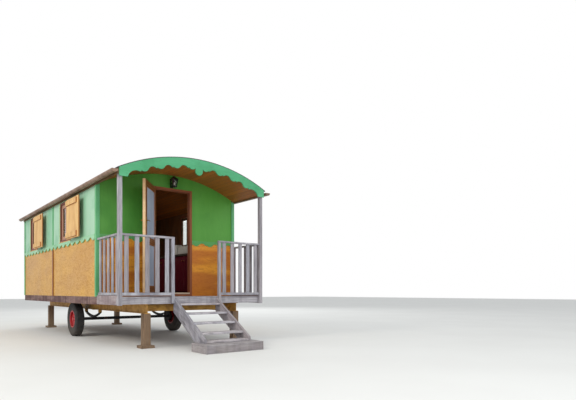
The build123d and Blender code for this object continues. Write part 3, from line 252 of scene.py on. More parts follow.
@lru_cache(maxsize=None)
def timber_group() -> bpy.types.NodeTree:
    """Growth rings, fibres and knots of sawn wood, with the grain along X.

    Returns:
        The group's tree.
    """
    book = GroupBook("timber_figure", Rings=22.0, Knots=1.0)
    wave = book.node("TexWave", book.stretch(book.place, (0.22, 1.0, 1.0)), bands_direction="Y",
                     Scale=book.source["Rings"], Distortion=9.0, Detail=2.0, Detail_Scale=0.35)
    clouds = book.noise(book.stretch(book.place, (0.8, 7.0, 7.0)), 1.0, 4.0, 0.6)
    figure = book.calc("MULTIPLY_ADD", wave.outputs["Fac"], 0.45, book.times(clouds, 0.55))
    fibre = book.noise(book.stretch(book.place, (5.0, 260.0, 260.0)))
    cell = book.node("TexVoronoi", book.stretch(book.place, (1.4, 7.0, 7.0)), Scale=1.0).outputs
    chosen = book.calc("GREATER_THAN", book.parts(cell["Color"])[0], 0.62)
    spot = book.ease(cell["Distance"], 0.04, 0.15, 1.0, 0.0)
    knot = book.times(spot, chosen, book.source["Knots"])
    raised = book.calc("MULTIPLY_ADD", fibre, 0.6, book.times(figure, 0.4))
    return book.answer(Figure=figure, Fibre=fibre, Knot=knot,
                       Height=book.calc("MULTIPLY_ADD", knot, -0.4, raised))


@lru_cache(maxsize=None)
def weather_group() -> bpy.types.NodeTree:
    """Rain streaks down the sides, cloudy patches, and dust on ledges and near the ground.

    Returns:
        The group's tree.
    """
    book = GroupBook("weather_marks", Streaks=13.0, Splash=0.7)
    streaks, splash = book.source["Streaks"], book.source["Splash"]
    x, y, z = book.parts(book.place)
    wide = book.vector(book.times(x, streaks), book.times(y, streaks), book.times(z, 0.8))
    patch = book.noise(book.place, 2.3, 6.0, 0.4)
    ledge = book.ease(book.parts(book.node("NewGeometry").outputs["Normal"])[2], 0.4, 0.95)
    low = book.times(book.ease(z, 0.0, splash, 1.0, 0.0), book.ease(patch, 0.35, 0.65))
    settled = book.ease(book.noise(book.place, 21.0), 0.3, 0.8, 0.1, 0.8)
    dust = book.calc("MULTIPLY_ADD", ledge, settled, low)
    return book.answer(Streak=book.ease(book.noise(wide, 1.0, 4.0), 0.42, 0.72), Patch=patch,
                       Dust=book.calc("MINIMUM", dust, 1.0))


@lru_cache(maxsize=None)
def edge_group() -> bpy.types.NodeTree:
    """Rounded edges and the rubbed line along them, from the bevelled normal against the plain one.

    Returns:
        The group's tree.
    """
    book = GroupBook("edge_wear", Radius=0.003, Wear=1.0)
    soft = book.node("Bevel", book.source["Radius"], samples=4).outputs[0]
    bend = book.ease(book.dot(soft, book.node("NewGeometry").outputs["Normal"]), 0.80, 0.995, 1.0, 0.0)
    chips = book.ease(book.noise(book.place, 34.0, 4.0), 0.40, 0.62)
    return book.answer(Mask=book.times(bend, chips, book.source["Wear"]), Normal=soft)


@lru_cache(maxsize=None)
def joint_group() -> bpy.types.NodeTree:
    """Boards side by side: a dark joint at each pitch and a random tone for each board.

    Returns:
        The group's tree.
    """
    book = GroupBook("board_joints", Across=0.0, Pitch=0.1, Gap=0.003)
    count = book.calc("DIVIDE", book.source["Across"], book.source["Pitch"])
    share = book.calc("FRACT", count)
    near = book.calc("MINIMUM", share, book.calc("SUBTRACT", 1.0, share))
    gaps = book.calc("DIVIDE", book.times(near, book.source["Pitch"]), book.source["Gap"])
    joint = book.calc("SUBTRACT", 1.0, book.calc("MINIMUM", gaps, 1.0))
    tone = book.node("TexWhiteNoise", noise_dimensions="1D", W=book.calc("FLOOR", count))
    return book.answer(Joint=joint, Tone=tone.outputs["Value"], Rise=book.calc("SUBTRACT", 1.0, joint))


@lru_cache(maxsize=None)
def speck_group() -> bpy.types.NodeTree:
    """Fine grit in two sizes, for felt, castings, rubber and baked paint.

    Returns:
        The group's tree.
    """
    book = GroupBook("grit", Scale=400.0)
    scale = book.source["Scale"]
    speck = book.parts(book.node("TexVoronoi", book.place, Scale=scale).outputs["Color"])[0]
    fine = book.noise(book.place, book.times(scale, 0.5), 2.0)
    return book.answer(Speck=speck, Cloud=book.noise(book.place, 9.0, 5.0),
                       Height=book.calc("MULTIPLY_ADD", speck, 0.4, book.times(fine, 0.6)))


class Coat(Book):
    """One material: marks gathered by name, colours laid over each other by them, and its surface."""

    def __init__(self, name: str) -> None:
        """Start an empty material, with its place and its facing in the object's own axes.

        Args:
            name: The material's name.
        """
        self.material = bpy.data.materials.new(name)
        self.material.use_nodes = True
        super().__init__(self.material.node_tree)
        self.tree.nodes.clear()
        own = self.node("TexCoord").outputs
        self.place, self.facing = own["Object"], own["Normal"]
        self.marks = {}

    def mark(self, group: Callable, **inputs: Value) -> dict:
        """Place a shared group and gather its outputs.

        Args:
            group: Function that gives the shared node group.
            inputs: Its inputs by name. Vector is the object's own place where it isn't given.

        Returns:
            Its outputs by name.
        """
        made = self.node("Group", node_tree=group(), **{"Vector": self.place, **inputs})
        found = {socket.name: socket for socket in made.outputs}
        self.marks.update(found)
        return found

    def timber(self, grain: Grain, rings: float, knots: float,
               board: float = 0.0, slope: float = 0.0) -> Socket:
        """Gather the marks of wood and a random tone for each board.

        Args:
            grain: Axis of the fibres, or the boards' stored places and tones.
            rings: Growth rings per metre.
            knots: Strength of the knots.
            board: Width of a board across the grain, where tones aren't stored.
            slope: Turn of the grain for a sloping piece, in radians.

        Returns:
            Place in the wood, with X along the fibres.
        """
        if grain is Grain.ON_BOARD:
            wood = self.node("Attribute", attribute_name="board").outputs["Vector"]
            self.marks["Tone"] = self.node("Attribute", attribute_name="tone").outputs["Fac"]
        else:
            parts = dict(zip("XYZ", self.parts(self.place)))
            turned = [parts[axis] for axis in grain.value]
            wood = self.vector(*turned)
            if board:
                self.mark(joint_group, Across=turned[1], Pitch=board)
        if slope:
            wood = self.node("Mapping", wood, Rotation=(0.0, slope, 0.0)).outputs[0]
        self.mark(timber_group, Vector=wood, Rings=rings, Knots=knots)
        return wood

    def share(self, mark: Union[str, Value, None], rule: Union[float, tuple]) -> Value:
        """Strength of a mark.

        Args:
            mark: Name of a gathered mark, or a value, or nothing where the strength is the rule itself.
            rule: Factor, or the bounds and results of a smooth step.

        Returns:
            The strength.
        """
        if mark is None:
            return rule
        value = self.marks[mark] if isinstance(mark, str) else mark
        if isinstance(rule, tuple):
            return self.ease(value, *rule)
        return value if rule == 1.0 else self.times(value, rule)

    def layers(self, base: Value, *rows: tuple) -> Socket:
        """Colour under layers that are laid in turn.

        Args:
            base: The lowest colour.
            rows: A mark, its rule and a colour for each layer. A row without a colour is left out.

        Returns:
            The last colour's socket.
        """
        for mark, rule, colour in rows:
            if colour is not None:
                base = self.mix(self.share(mark, rule), base, colour)
        return base

    def lining(self, reach: float) -> tuple:
        """Layer of the cabin's lining, for faces nearer than a distance to the middle plane.

        Args:
            reach: The distance, or 0 for no lining.

        Returns:
            Its row for the layers, or none.
        """
        if not reach:
            return ()
        depth = self.calc("ABSOLUTE", self.parts(self.place)[0])
        wood = self.mix(self.marks["Figure"], LINING, LINING_DARK)
        return ((depth, (reach - 0.001, reach, 1.0, 0.0), wood),)

    def surface(self, base: Value, rough: tuple, depth: float = 0.0, **values: Value) -> None:
        """Close the material with its Principled surface.

        Args:
            base: Its colour.
            rough: Mark and rule of its roughness.
            depth: Depth in metres of the gathered height, from 0 to 1.
            values: The shader's other sockets by name.
        """
        if depth:
            relief = {key: self.marks[key] for key in ("Height", "Normal") if key in self.marks}
            values["Normal"] = self.node("Bump", Strength=1.0, Distance=depth, **relief).outputs[0]
        shader = self.node("BsdfPrincipled", Base_Color=base, Roughness=self.share(*rough), **values)
        self.node("OutputMaterial", shader.outputs[0])


@dataclass(frozen=True)
class Finish:
    """What every finish has: a name, and a material that is made once."""

    name: str

    def lay(self, coat: Coat) -> None:
        """Gather the marks, lay the colours and close the surface of a coat."""
        raise NotImplementedError

    def material(self) -> bpy.types.Material:
        """Make the material when it is first asked for.

        Returns:
            The finish's material.
        """
        found = bpy.data.materials.get(self.name)
        if found is None:
            coat = Coat(self.name)
            self.lay(coat)
            found = coat.material
        return found


@dataclass(frozen=True)
class WeatheredTimber(Finish):
    """Bare softwood gone grey, with raised fibres, checks, dark knots and pinkish edges."""

    grain: Grain
    pale: tuple = (194, 194, 200)
    grey: tuple = (150, 149, 158)
    dark: tuple = (80, 76, 82)
    pink: tuple = (176, 160, 158)
    stain: float = 0.35
    slope: float = 0.0

    def lay(self, coat: Coat) -> None:
        """Fibres over a tone for each board, then knots, streaks, rubbed edges and dust.

        Args:
            coat: The material to fill.
        """
        coat.timber(self.grain, 17.0, 1.0, 0.16, self.slope)
        coat.mark(weather_group)
        coat.mark(edge_group, Radius=0.004, Wear=0.8)
        base = coat.layers(
            self.grey, ("Figure", (0.25, 0.75), self.pale), ("Tone", 0.55, self.pink),
            ("Fibre", (0.60, 0.36, 0.0, 0.55), self.dark), ("Streak", self.stain, self.dark),
            ("Knot", 0.85, self.dark), ("Mask", 0.6, self.pale), ("Dust", 0.18, (180, 168, 146)))
        coat.surface(base, ("Fibre", (0.2, 0.8, 0.72, 0.93)), 0.0016)


@dataclass(frozen=True)
class PaintedWood(Finish):
    """Opaque wood paint: brushed, with the grain showing through, faded in patches and worn at edges."""

    grain: Grain
    base: tuple
    shade: tuple
    light: tuple
    bands: float = 0.35
    wear: float = 0.35
    bare: tuple = (176, 150, 120)
    ends: Optional[tuple] = None
    inner: float = 0.0

    def lay(self, coat: Coat) -> None:
        """Broad bands and brush marks in the paint, painted shade on its end faces where an end colour is
        given, the lining inside, wear and dust.

        Args:
            coat: The material to fill.
        """
        wood = coat.timber(self.grain, 12.0, 0.3)
        coat.mark(weather_group, Streaks=5.0)
        coat.mark(edge_group, Wear=self.wear)
        broad = coat.noise(coat.stretch(wood, (0.25, 2.6, 2.6)))
        # Faces that look along Y take the end colour where one is given: painted shade on the fringe's end
        # faces.
        endwise = coat.calc("ABSOLUTE", coat.parts(coat.facing)[1])
        base = coat.layers(
            self.base, (broad, (0.36, 0.66, 0.0, self.bands * 2.0), self.light),
            (endwise, (0.6, 0.8), self.ends), ("Patch", (0.45, 0.80, 0.0, 0.55), self.shade),
            ("Fibre", (0.58, 0.38, 0.0, 0.22), self.shade), *coat.lining(self.inner),
            ("Mask", 1.0, self.bare), ("Dust", 0.14, (176, 168, 148)))
        coat.surface(base, ("Patch", (0.3, 0.8, 0.42, 0.62)), 0.0007)


@dataclass(frozen=True)
class VarnishedPanel(Finish):
    """Varnished ply: rotary-cut figure, mottled fibres, darker flecks and a thin clear coat."""

    grain: Grain
    base: tuple
    dark: tuple
    light: tuple
    mottle: float
    clear: float
    fleck: float = 0.55
    calm: float = 0.45
    inner: float = 0.0

    def lay(self, coat: Coat) -> None:
        """Wide flames of figure and a small mottle, under uneven varnish.

        Args:
            coat: The material to fill.
        """
        wood = coat.timber(self.grain, 5.5, 0.5)
        coat.mark(weather_group, Streaks=4.0, Splash=1.1)
        coat.mark(edge_group, Wear=0.3)
        small = coat.noise(coat.stretch(wood, (0.3, 1.0, 1.0)), self.mottle, 3.0, 0.8)
        base = coat.layers(
            self.dark, ("Figure", (0.28, 0.72), self.light), (None, self.calm, self.base),
            (small, (0.44, 0.72, 0.0, self.fleck), self.dark), ("Patch", (0.5, 0.8, 0.0, 0.12), self.light),
            ("Streak", 0.16, self.dark), ("Knot", 0.6, self.dark), *coat.lining(self.inner),
            ("Mask", 0.5, self.light))
        coat.surface(base, (small, (0.3, 0.7, 0.38, 0.56)), 0.0006, Coat_Roughness=0.25,
                     Coat_Weight=coat.share("Patch", (0.3, 0.7, self.clear, self.clear * 0.4)))


@dataclass(frozen=True)
class StainedWood(Finish):
    """Stained joinery: a warm tone with fine fibres, and another colour on faces that don't face sideways."""

    grain: Grain
    base: tuple
    dark: tuple
    side: Optional[tuple] = None

    def lay(self, coat: Coat) -> None:
        """Fibres and rings over the stain, with the edges' own colour, streaks and rubbed lines.

        Args:
            coat: The material to fill.
        """
        coat.timber(self.grain, 20.0, 0.7, 0.155)
        coat.mark(weather_group, Streaks=9.0)
        coat.mark(edge_group, Wear=0.4)
        sideways, edges = 0.0, None
        if self.side is not None:
            sideways = coat.calc("ABSOLUTE", coat.parts(coat.facing)[0])
            edges = coat.mix(coat.marks["Fibre"], self.side, coat.mix(0.5, self.side, self.dark))
        base = coat.layers(
            self.base, ("Figure", (0.3, 0.8, 0.0, 0.5), self.dark),
            ("Fibre", (0.6, 0.38, 0.0, 0.4), self.dark), ("Tone", 0.22, self.dark),
            ("Knot", 0.75, self.dark), (sideways, (0.55, 0.75, 1.0, 0.0), edges),
            ("Streak", 0.12, self.dark), ("Mask", 0.35, (214, 176, 126)))
        coat.surface(base, ("Fibre", (0.2, 0.8, 0.45, 0.67)), 0.0008)


@dataclass(frozen=True)
class ArchedBoards(Finish):
    """Tongued boards under the arched roof, laid lengthwise, each with its own tone."""

    centre: float
    radius: float
    pitch: float
    base: tuple = (170, 92, 28)
    dark: tuple = (100, 46, 10)
    light: tuple = (198, 122, 46)

    def lay(self, coat: Coat) -> None:
        """Joints at equal steps of arc: the arc length is the radius times the angle from upright.

        Args:
            coat: The material to fill.
        """
        x, y, z = coat.parts(coat.place)
        arc = coat.times(coat.calc("ARCTAN2", x, coat.calc("SUBTRACT", z, self.centre)), self.radius)
        boards = coat.mark(joint_group, Across=arc, Pitch=self.pitch, Gap=0.004)
        shifted = coat.calc("MULTIPLY_ADD", boards["Tone"], 9.0, y)
        coat.mark(timber_group, Vector=coat.vector(shifted, arc, z), Rings=26.0, Knots=0.9)
        coat.mark(edge_group, Radius=0.002, Wear=0.2)
        base = coat.layers(
            self.base, ("Figure", (0.25, 0.75), self.light), ("Fibre", (0.6, 0.35, 0.0, 0.45), self.dark),
            ("Tone", 0.4, self.dark), ("Knot", 0.8, self.dark), ("Joint", 1.0, (40, 20, 8)))
        coat.marks["Height"] = coat.calc("MULTIPLY_ADD", coat.marks["Height"], 0.3, boards["Rise"])
        coat.surface(base, ("Fibre", (0.2, 0.8, 0.42, 0.6)), 0.002)


@dataclass(frozen=True)
class RoofFelt(Finish):
    """Mineral felt in strips across the arch, dark grey with pale flakes and moss."""

    base: tuple = (62, 64, 68)
    dark: tuple = (38, 39, 42)
    flake: tuple = (128, 128, 126)
    moss: tuple = (74, 80, 50)
    strip: float = 0.98

    def lay(self, coat: Coat) -> None:
        """Flakes over dark bitumen, with a dark line where each strip ends.

        Args:
            coat: The material to fill.
        """
        coat.mark(speck_group, Scale=420.0)
        coat.mark(joint_group, Across=coat.parts(coat.place)[1], Pitch=self.strip, Gap=0.012)
        coat.mark(weather_group, Streaks=6.0)
        base = coat.layers(
            self.dark, ("Cloud", (0.3, 0.7), self.base), ("Speck", (0.72, 0.9, 0.0, 0.55), self.flake),
            ("Joint", 0.8, self.dark), ("Patch", (0.60, 0.80, 0.0, 0.5), self.moss))
        coat.marks["Height"] = coat.calc("MULTIPLY_ADD", coat.marks["Rise"], 2.0, coat.marks["Height"])
        coat.surface(base, ("Speck", (0.0, 1.0, 0.84, 0.97)), 0.0012)


@dataclass(frozen=True)
class Enamel(Finish):
    """Sprayed or brushed metal paint: slight orange peel, worn edges, and dirt in the low places."""

    base: tuple
    dark: tuple
    chip: tuple
    gloss: float = 0.3
    wear: float = 0.5
    dirt: float = 0.12
    metallic: float = 0.0

    def lay(self, coat: Coat) -> None:
        """Cloudy paint with chips along edges and road dust that thickens towards the ground.

        Args:
            coat: The material to fill.
        """
        coat.mark(speck_group, Scale=240.0)
        coat.mark(weather_group, Streaks=8.0, Splash=1.0)
        coat.mark(edge_group, Radius=0.0025, Wear=self.wear)
        base = coat.layers(
            self.base, ("Cloud", (0.35, 0.75), self.dark), ("Streak", self.dirt * 0.5, self.dark),
            ("Mask", 1.0, self.chip), ("Dust", self.dirt, (150, 134, 108)))
        coat.surface(base, ("Cloud", (0.2, 0.8, self.gloss, self.gloss + 0.25)), 0.0002,
                     Metallic=self.metallic)


@dataclass(frozen=True)
class Casting(Finish):
    """Iron or steel, forged or cast: pitted, slightly metallic, with a little rust."""

    base: tuple = (34, 34, 36)
    metallic: float = 0.55

    def lay(self, coat: Coat) -> None:
        """Pits from grit, rust in clouds and a polished line on the edges.

        Args:
            coat: The material to fill.
        """
        coat.mark(speck_group, Scale=520.0)
        coat.mark(edge_group, Radius=0.0015, Wear=0.6)
        base = coat.layers(self.base, ("Cloud", (0.55, 0.8, 0.0, 0.5), (92, 52, 34)),
                           ("Mask", 1.0, (96, 94, 92)))
        coat.surface(base, ("Speck", (0.0, 1.0, 0.45, 0.7)), 0.0004,
                     Metallic=coat.share("Cloud", (0.5, 0.8, self.metallic, 0.1)))


@dataclass(frozen=True)
class Rubber(Finish):
    """Tyre rubber with road dust on its lower half."""

    base: tuple = (32, 31, 33)
    worn: tuple = (52, 49, 49)

    def lay(self, coat: Coat) -> None:
        """Fine grit, and dust by cloud and height.

        Args:
            coat: The material to fill.
        """
        coat.mark(speck_group, Scale=300.0)
        coat.mark(weather_group, Streaks=3.0, Splash=0.5)
        base = coat.layers(self.base, ("Cloud", (0.35, 0.7), self.worn), ("Dust", 0.22, (118, 104, 86)))
        coat.surface(base, ("Speck", (0.0, 1.0, 0.68, 0.9)), 0.0005)


@dataclass(frozen=True)
class Glass(Finish):
    """Window or lamp glass, clear with faint smears in its roughness."""

    tint: tuple = (236, 242, 240)

    def lay(self, coat: Coat) -> None:
        """Plain transmission, smeared by soft clouds.

        Args:
            coat: The material to fill.
        """
        smear = coat.noise(coat.place, 6.0, 5.0, 0.5)
        coat.surface(self.tint, (smear, (0.3, 0.8, 0.01, 0.12)), IOR=1.45, Transmission_Weight=1.0)


@dataclass(frozen=True)
class PorcelainGlaze(Finish):
    """Smooth pale glaze or opal glass with faint clouds."""

    base: tuple = (232, 230, 222)
    shade: tuple = (206, 202, 192)

    def lay(self, coat: Coat) -> None:
        """Soft clouds of shade under a clear coat.

        Args:
            coat: The material to fill.
        """
        cloud = coat.noise(coat.place, 14.0, 4.0)
        base = coat.layers(self.base, (cloud, (0.35, 0.75, 0.0, 0.6), self.shade))
        coat.surface(base, (cloud, (0.2, 0.8, 0.18, 0.34)), Coat_Weight=0.4)


@dataclass(frozen=True)
class DoorLeafFinish(Finish):
    """Door leaf in varnished pine with pale painted panels, told apart by place across the leaf, and a
    painted highlight of pale cream on its free edge.
    """

    pin: tuple
    angle: float
    stile: tuple
    panels: tuple
    pine: tuple = (150, 92, 44)
    pine_dark: tuple = (92, 52, 22)
    # Pale cream: a painted highlight on the free edge, and wear on rubbed edges.
    wear_and_highlight_pine: tuple = (228, 192, 146)
    panel: tuple = (178, 190, 208)
    panel_dark: tuple = (126, 140, 160)

    def lay(self, coat: Coat) -> None:
        """Distance along the leaf is the place less the pin, times the leaf's direction.

        The grain runs up the stiles and along the rails, and a panel's place is told by both bounds. Faces
        that look towards the free end get a painted highlight.

        Args:
            coat: The material to fill.
        """
        x, y, z = coat.parts(coat.place)
        turn = math.radians(self.angle)
        reach = coat.calc("MULTIPLY_ADD", coat.calc("SUBTRACT", y, self.pin[1]), -math.sin(turn),
                          coat.times(coat.calc("SUBTRACT", x, self.pin[0]), math.cos(turn)))
        across = coat.within(reach, *self.stile)
        inside = 0.0
        for low, high in self.panels:
            inside = coat.calc("MAXIMUM", inside, coat.times(across, coat.within(z, low, high)))
        upright = coat.mark(timber_group, Vector=coat.vector(z, reach, 0.0), Rings=8.0, Knots=0.6)
        level = coat.mark(timber_group, Vector=coat.vector(reach, z, 3.0), Rings=8.0, Knots=0.6)
        for key, first in upright.items():
            change = coat.calc("SUBTRACT", level[key], first)
            coat.marks[key] = coat.calc("MULTIPLY_ADD", across, change, first)
        coat.mark(edge_group, Wear=0.4)
        # Faces towards the free end take a pale cream, a painted highlight of sunlight on the free edge.
        free_end_highlight = coat.dot(coat.facing, (math.cos(turn), -math.sin(turn), 0.0))
        pale = coat.layers(self.wear_and_highlight_pine, ("Fibre", (0.3, 0.7, 0.0, 0.35), self.pine))
        cloud = coat.noise(coat.stretch(coat.place, (3.0, 3.0, 0.8)), 1.0, 4.0)
        painted = coat.layers(self.panel, (cloud, (0.35, 0.7, 0.0, 0.5), self.panel_dark),
                              (upright["Fibre"], (0.62, 0.4, 0.0, 0.18), self.panel_dark))
        base = coat.layers(
            self.pine, ("Figure", (0.25, 0.8), self.pine_dark),
            ("Fibre", (0.6, 0.36, 0.0, 0.35), self.pine_dark), (free_end_highlight, (0.6, 0.8), pale),
            (inside, 1.0, painted), ("Mask", 0.5, self.wear_and_highlight_pine))
        coat.surface(base, ("Fibre", (0.2, 0.8, 0.32, 0.5)), 0.0006)


GREY_X = WeatheredTimber("grey_timber_across", Grain.ALONG_X)
GREY_Z = WeatheredTimber("grey_timber_upright", Grain.ALONG_Z)
GREY_BOARD = WeatheredTimber("grey_timber_boards", Grain.ON_BOARD)
NAIL_STEEL = Casting("nail_steel", (92, 92, 88))
SCREW_STEEL = Casting("screw_steel", (120, 118, 114))
BRASS = Enamel("door_brass", (196, 152, 72), (140, 100, 40), (220, 180, 100), 0.2, 0.3, 0.1, 1.0)
RIM_RED = Enamel("rim_red_enamel", (190, 14, 40), (136, 6, 24), (92, 50, 44))


def mesh_piece(name: str, points: np.ndarray, quads: np.ndarray, triangles: Sequence = (),
               smooth: bool = True, weld: bool = False) -> bpy.types.Object:
    """Object whose mesh is set from whole arrays.

    Args:
        name: The piece's name.
        points: X, Y and Z of each vertex.
        quads: Four vertex numbers for each quad.
        triangles: Three vertex numbers for each triangle.
        smooth: Whether the faces are shaded as a curved surface.
        weld: Whether points that lie together, such as those at a pole, become one and faces turn outwards.

    Returns:
        The object, linked to the scene at the origin.
    """
    faces = [*np.reshape(quads, (-1, 4)).tolist(), *np.reshape(triangles, (-1, 3)).astype(int).tolist()]
    mesh = bpy.data.meshes.new(name)
    mesh.from_pydata(np.reshape(points, (-1, 3)).tolist(), [], faces)
    mesh.polygons.foreach_set("use_smooth", np.full(len(faces), smooth))
    mesh.validate()
    if weld:
        work = bmesh.new()
        work.from_mesh(mesh)
        bmesh.ops.remove_doubles(work, verts=work.verts, dist=1e-5)
        bmesh.ops.recalc_face_normals(work, faces=work.faces)
        work.to_mesh(mesh)
        work.free()
    made = bpy.data.objects.new(name, mesh)
    bpy.context.scene.collection.objects.link(made)
    return made


def grid_quads(rows: int, columns: int, close_rows: bool = False) -> np.ndarray:
    """Quads of a grid of points numbered row by row, where each row closes on itself.

    Args:
        rows: Number of rows.
        columns: Points in a row.
        close_rows: Whether the last row joins the first.

    Returns:
        One row of four point numbers for each quad.
    """
    row = np.arange(rows if close_rows else rows - 1)[:, None]
    column = np.arange(columns)
    after, beside = (row + 1) % rows, (column + 1) % columns
    first, second = row * columns, after * columns
    corners = (first + column, first + beside, second + beside, second + column)
    return np.stack(corners, axis=-1).reshape(-1, 4)


def dress(piece: bpy.types.Object, finish: Finish, body: str = "wagon",
          replaces: Sequence[str] = ()) -> None:
    """Give a new piece its finish and its body, and hide the CAD nodes that it stands for.

    Args:
        piece: The finished mesh object.
        finish: Its finish.
        body: CAD body that it rides on.
        replaces: CAD nodes that it stands for.
    """
    piece.data.materials.clear()
    piece.data.materials.append(finish.material())
    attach(piece, body)
    if replaces:
        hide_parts(*replaces)
    LOG.info("piece %s: %d faces on %s", piece.name, len(piece.data.polygons), body)


def coat_node(finish: Finish, *names: str) -> None:
    """Give CAD nodes a finish and report them.

    Args:
        finish: Their finish.
        names: The nodes' names.
    """
    for name in names:
        node = frame["nodes"][name]
        node.data.materials.clear()
        node.data.materials.append(finish.material())
        LOG.info("node %s: %s", name, finish.name)


@dataclass
class Boards:
    """Boards, rails and posts of one piece of joinery, each a chamfered length of timber."""

    name: str
    chamfer: float = 0.003
    chamfer_share: float = 0.45
    end_inset: float = 0.6
    shift: float = 40.0
    lows: list = field(default_factory=list)
    highs: list = field(default_factory=list)
    grains: list = field(default_factory=list)

    def add(self, x: tuple, y: tuple, z: tuple, grain: Grain) -> None:
        """Add a board.

        Args:
            x: Its two values of X.
            y: Its two values of Y.
            z: Its two values of Z.
            grain: Axis of its fibres and its length.
        """
        self.lows.append((min(x), min(y), min(z)))
        self.highs.append((max(x), max(y), max(z)))
        self.grains.append("XYZ".index(grain.value[0]))

    def build(self) -> bpy.types.Object:
        """Make all boards as one mesh.

        Each board is an eight-sided profile carried along its grain through four rings. A profile point is
        its signs times the half width and half thickness less the ring's inset, and its turns times the
        chamfer less that inset. The rings stand at both ends, inset, and a chamfer in from them, whole. The
        board attribute holds the place with the grain first, moved by a random length for each board, and
        tone is a random number for each board.

        Returns:
            The object.
        """
        low, high = np.array(self.lows), np.array(self.highs)
        count, sides, rings = len(low), 8, 4
        each = rings * sides
        order = np.array([[0, 1, 2], [1, 2, 0], [2, 0, 1]])[np.array(self.grains)]
        half = np.take_along_axis((high - low) / 2, order, axis=1)[:, :, None, None]
        middle = np.take_along_axis((high + low) / 2, order, axis=1)[:, None, :]
        chamfer = np.minimum(self.chamfer, half.min(axis=1) * self.chamfer_share)
        signs = np.array([[1, 1, 1, -1, -1, -1, -1, 1],
                          [-1, 1, 1, 1, 1, -1, -1, -1]], float)[:, None, None, :]
        turns = np.array([[0, 0, -1, 1, 0, 0, 1, -1],
                          [1, -1, 0, 0, -1, 1, 0, 0]], float)[:, None, None, :]
        inset = chamfer * np.array([self.end_inset, 0.0, 0.0, self.end_inset])[:, None]
        end = np.array([-1.0, -1.0, 1.0, 1.0])[:, None]
        along = end * (half[:, 0] - chamfer * np.array([0.0, 1.0, 1.0, 0.0])[:, None])
        width, depth = (signs[axis] * (half[:, axis + 1] - inset) + turns[axis] * (chamfer - inset)
                        for axis in (0, 1))
        local = np.stack(np.broadcast_arrays(along, width, depth), axis=-1).reshape(count, each, 3) + middle
        points = np.empty_like(local)
        np.put_along_axis(points, np.broadcast_to(order[:, None, :], local.shape), local, axis=2)
        cap = np.array([[0, 1, 2, 3], [0, 3, 4, 7], [4, 5, 6, 7]])
        quads = np.concatenate([grid_quads(rings, sides), cap[:, ::-1], cap + each - sides])
        made = mesh_piece(self.name, points, quads + np.arange(count)[:, None, None] * each, smooth=False)
        random = np.random.default_rng(SEED + count)
        placed = local + random.uniform(0.0, self.shift, (count, 1, 3))
        tones = np.repeat(random.uniform(0.0, 1.0, count), each)
        for key, kind, part, values in (("board", "FLOAT_VECTOR", "vector", placed),
                                        ("tone", "FLOAT", "value", tones)):
            stored = made.data.attributes.new(key, kind, "POINT")
            stored.data.foreach_set(part, values.astype(np.float32).ravel())
        return made


@dataclass
class Studs:
    """Round heads of screws or nails, each a low dome on a face."""

    name: str
    radius: float
    height: float
    sides: int = 8
    rings: int = 4
    last_rise: float = 0.93
    places: list = field(default_factory=list)
    normals: list = field(default_factory=list)

    def add(self, place: Sequence[float], normal: Sequence[float]) -> None:
        """Add a head at a place, standing out along a normal of length 1."""
        self.places.append(tuple(place))
        self.normals.append(tuple(normal))

    def build(self) -> bpy.types.Object:
        """Make all heads as one mesh.

        Ring k of a head has the radius times the cosine of k steps of the rise, and the height times its
        sine, so the side is a quarter of an ellipse. The last ring is closed by a fan of triangles round
        the top.

        Returns:
            The object.
        """
        place, normal = np.array(self.places), np.array(self.normals, float)
        helper = np.where(np.abs(normal[:, 2:3]) > 0.9, [[1.0, 0.0, 0.0]], [[0.0, 0.0, 1.0]])
        first = np.cross(normal, helper)
        first /= np.linalg.norm(first, axis=1, keepdims=True)
        second = np.cross(normal, first)
        turn = np.linspace(0.0, 2 * np.pi, self.sides, endpoint=False)
        rise = np.linspace(0.0, self.last_rise * np.pi / 2, self.rings)[:, None]
        across = self.radius * np.cos(rise)
        parts = (np.cos(turn) * across, np.sin(turn) * across, self.height * np.sin(rise) + 0.0 * turn)
        points = place[:, None, None, :] + sum(part[None, :, :, None] * axis[:, None, None, :]
                                               for part, axis in zip(parts, (first, second, normal)))
        count, per_head = len(place), self.rings * self.sides
        shift = np.arange(count)[:, None, None] * per_head
        fan = np.arange(self.sides)
        last = per_head - self.sides
        triangles = np.stack([last + fan, last + (fan + 1) % self.sides, 0 * fan], axis=1) + shift
        triangles[:, :, 2] = (count * per_head + np.arange(count))[:, None]
        joined = np.concatenate([points.reshape(-1, 3), place + normal * self.height])
        return mesh_piece(self.name, joined, grid_quads(self.rings, self.sides) + shift, triangles)


def turned_piece(name: str, radii: Sequence[float], heights: Sequence[float], centre: Sequence[float],
                 axis: int = 2, sides: int = 24, phase: float = 0.0, smooth: bool = True) -> bpy.types.Object:
    """Surface of revolution: each pair of a radius and a height is swept round an axis through a centre.

    Args:
        name: The piece's name.
        radii: Radius at each point of the profile, zero at a closed end.
        heights: Distance along the axis at each point.
        centre: Point that heights are measured from.
        axis: 0, 1 or 2 for X, Y or Z.
        sides: Points round the axis.
        phase: Angle of the first point.
        smooth: Whether it is shaded as a curved surface.

    Returns:
        The object.
    """
    turn = phase + np.linspace(0.0, 2 * np.pi, sides, endpoint=False)
    radius = np.asarray(radii)[:, None]
    points = np.zeros((len(radii), sides, 3)) + np.asarray(centre)
    points[..., (axis + 1) % 3] += radius * np.cos(turn)
    points[..., (axis + 2) % 3] += radius * np.sin(turn)
    points[..., axis] += np.asarray(heights)[:, None]
    return mesh_piece(name, points, grid_quads(len(radii), sides), smooth=smooth, weld=True)


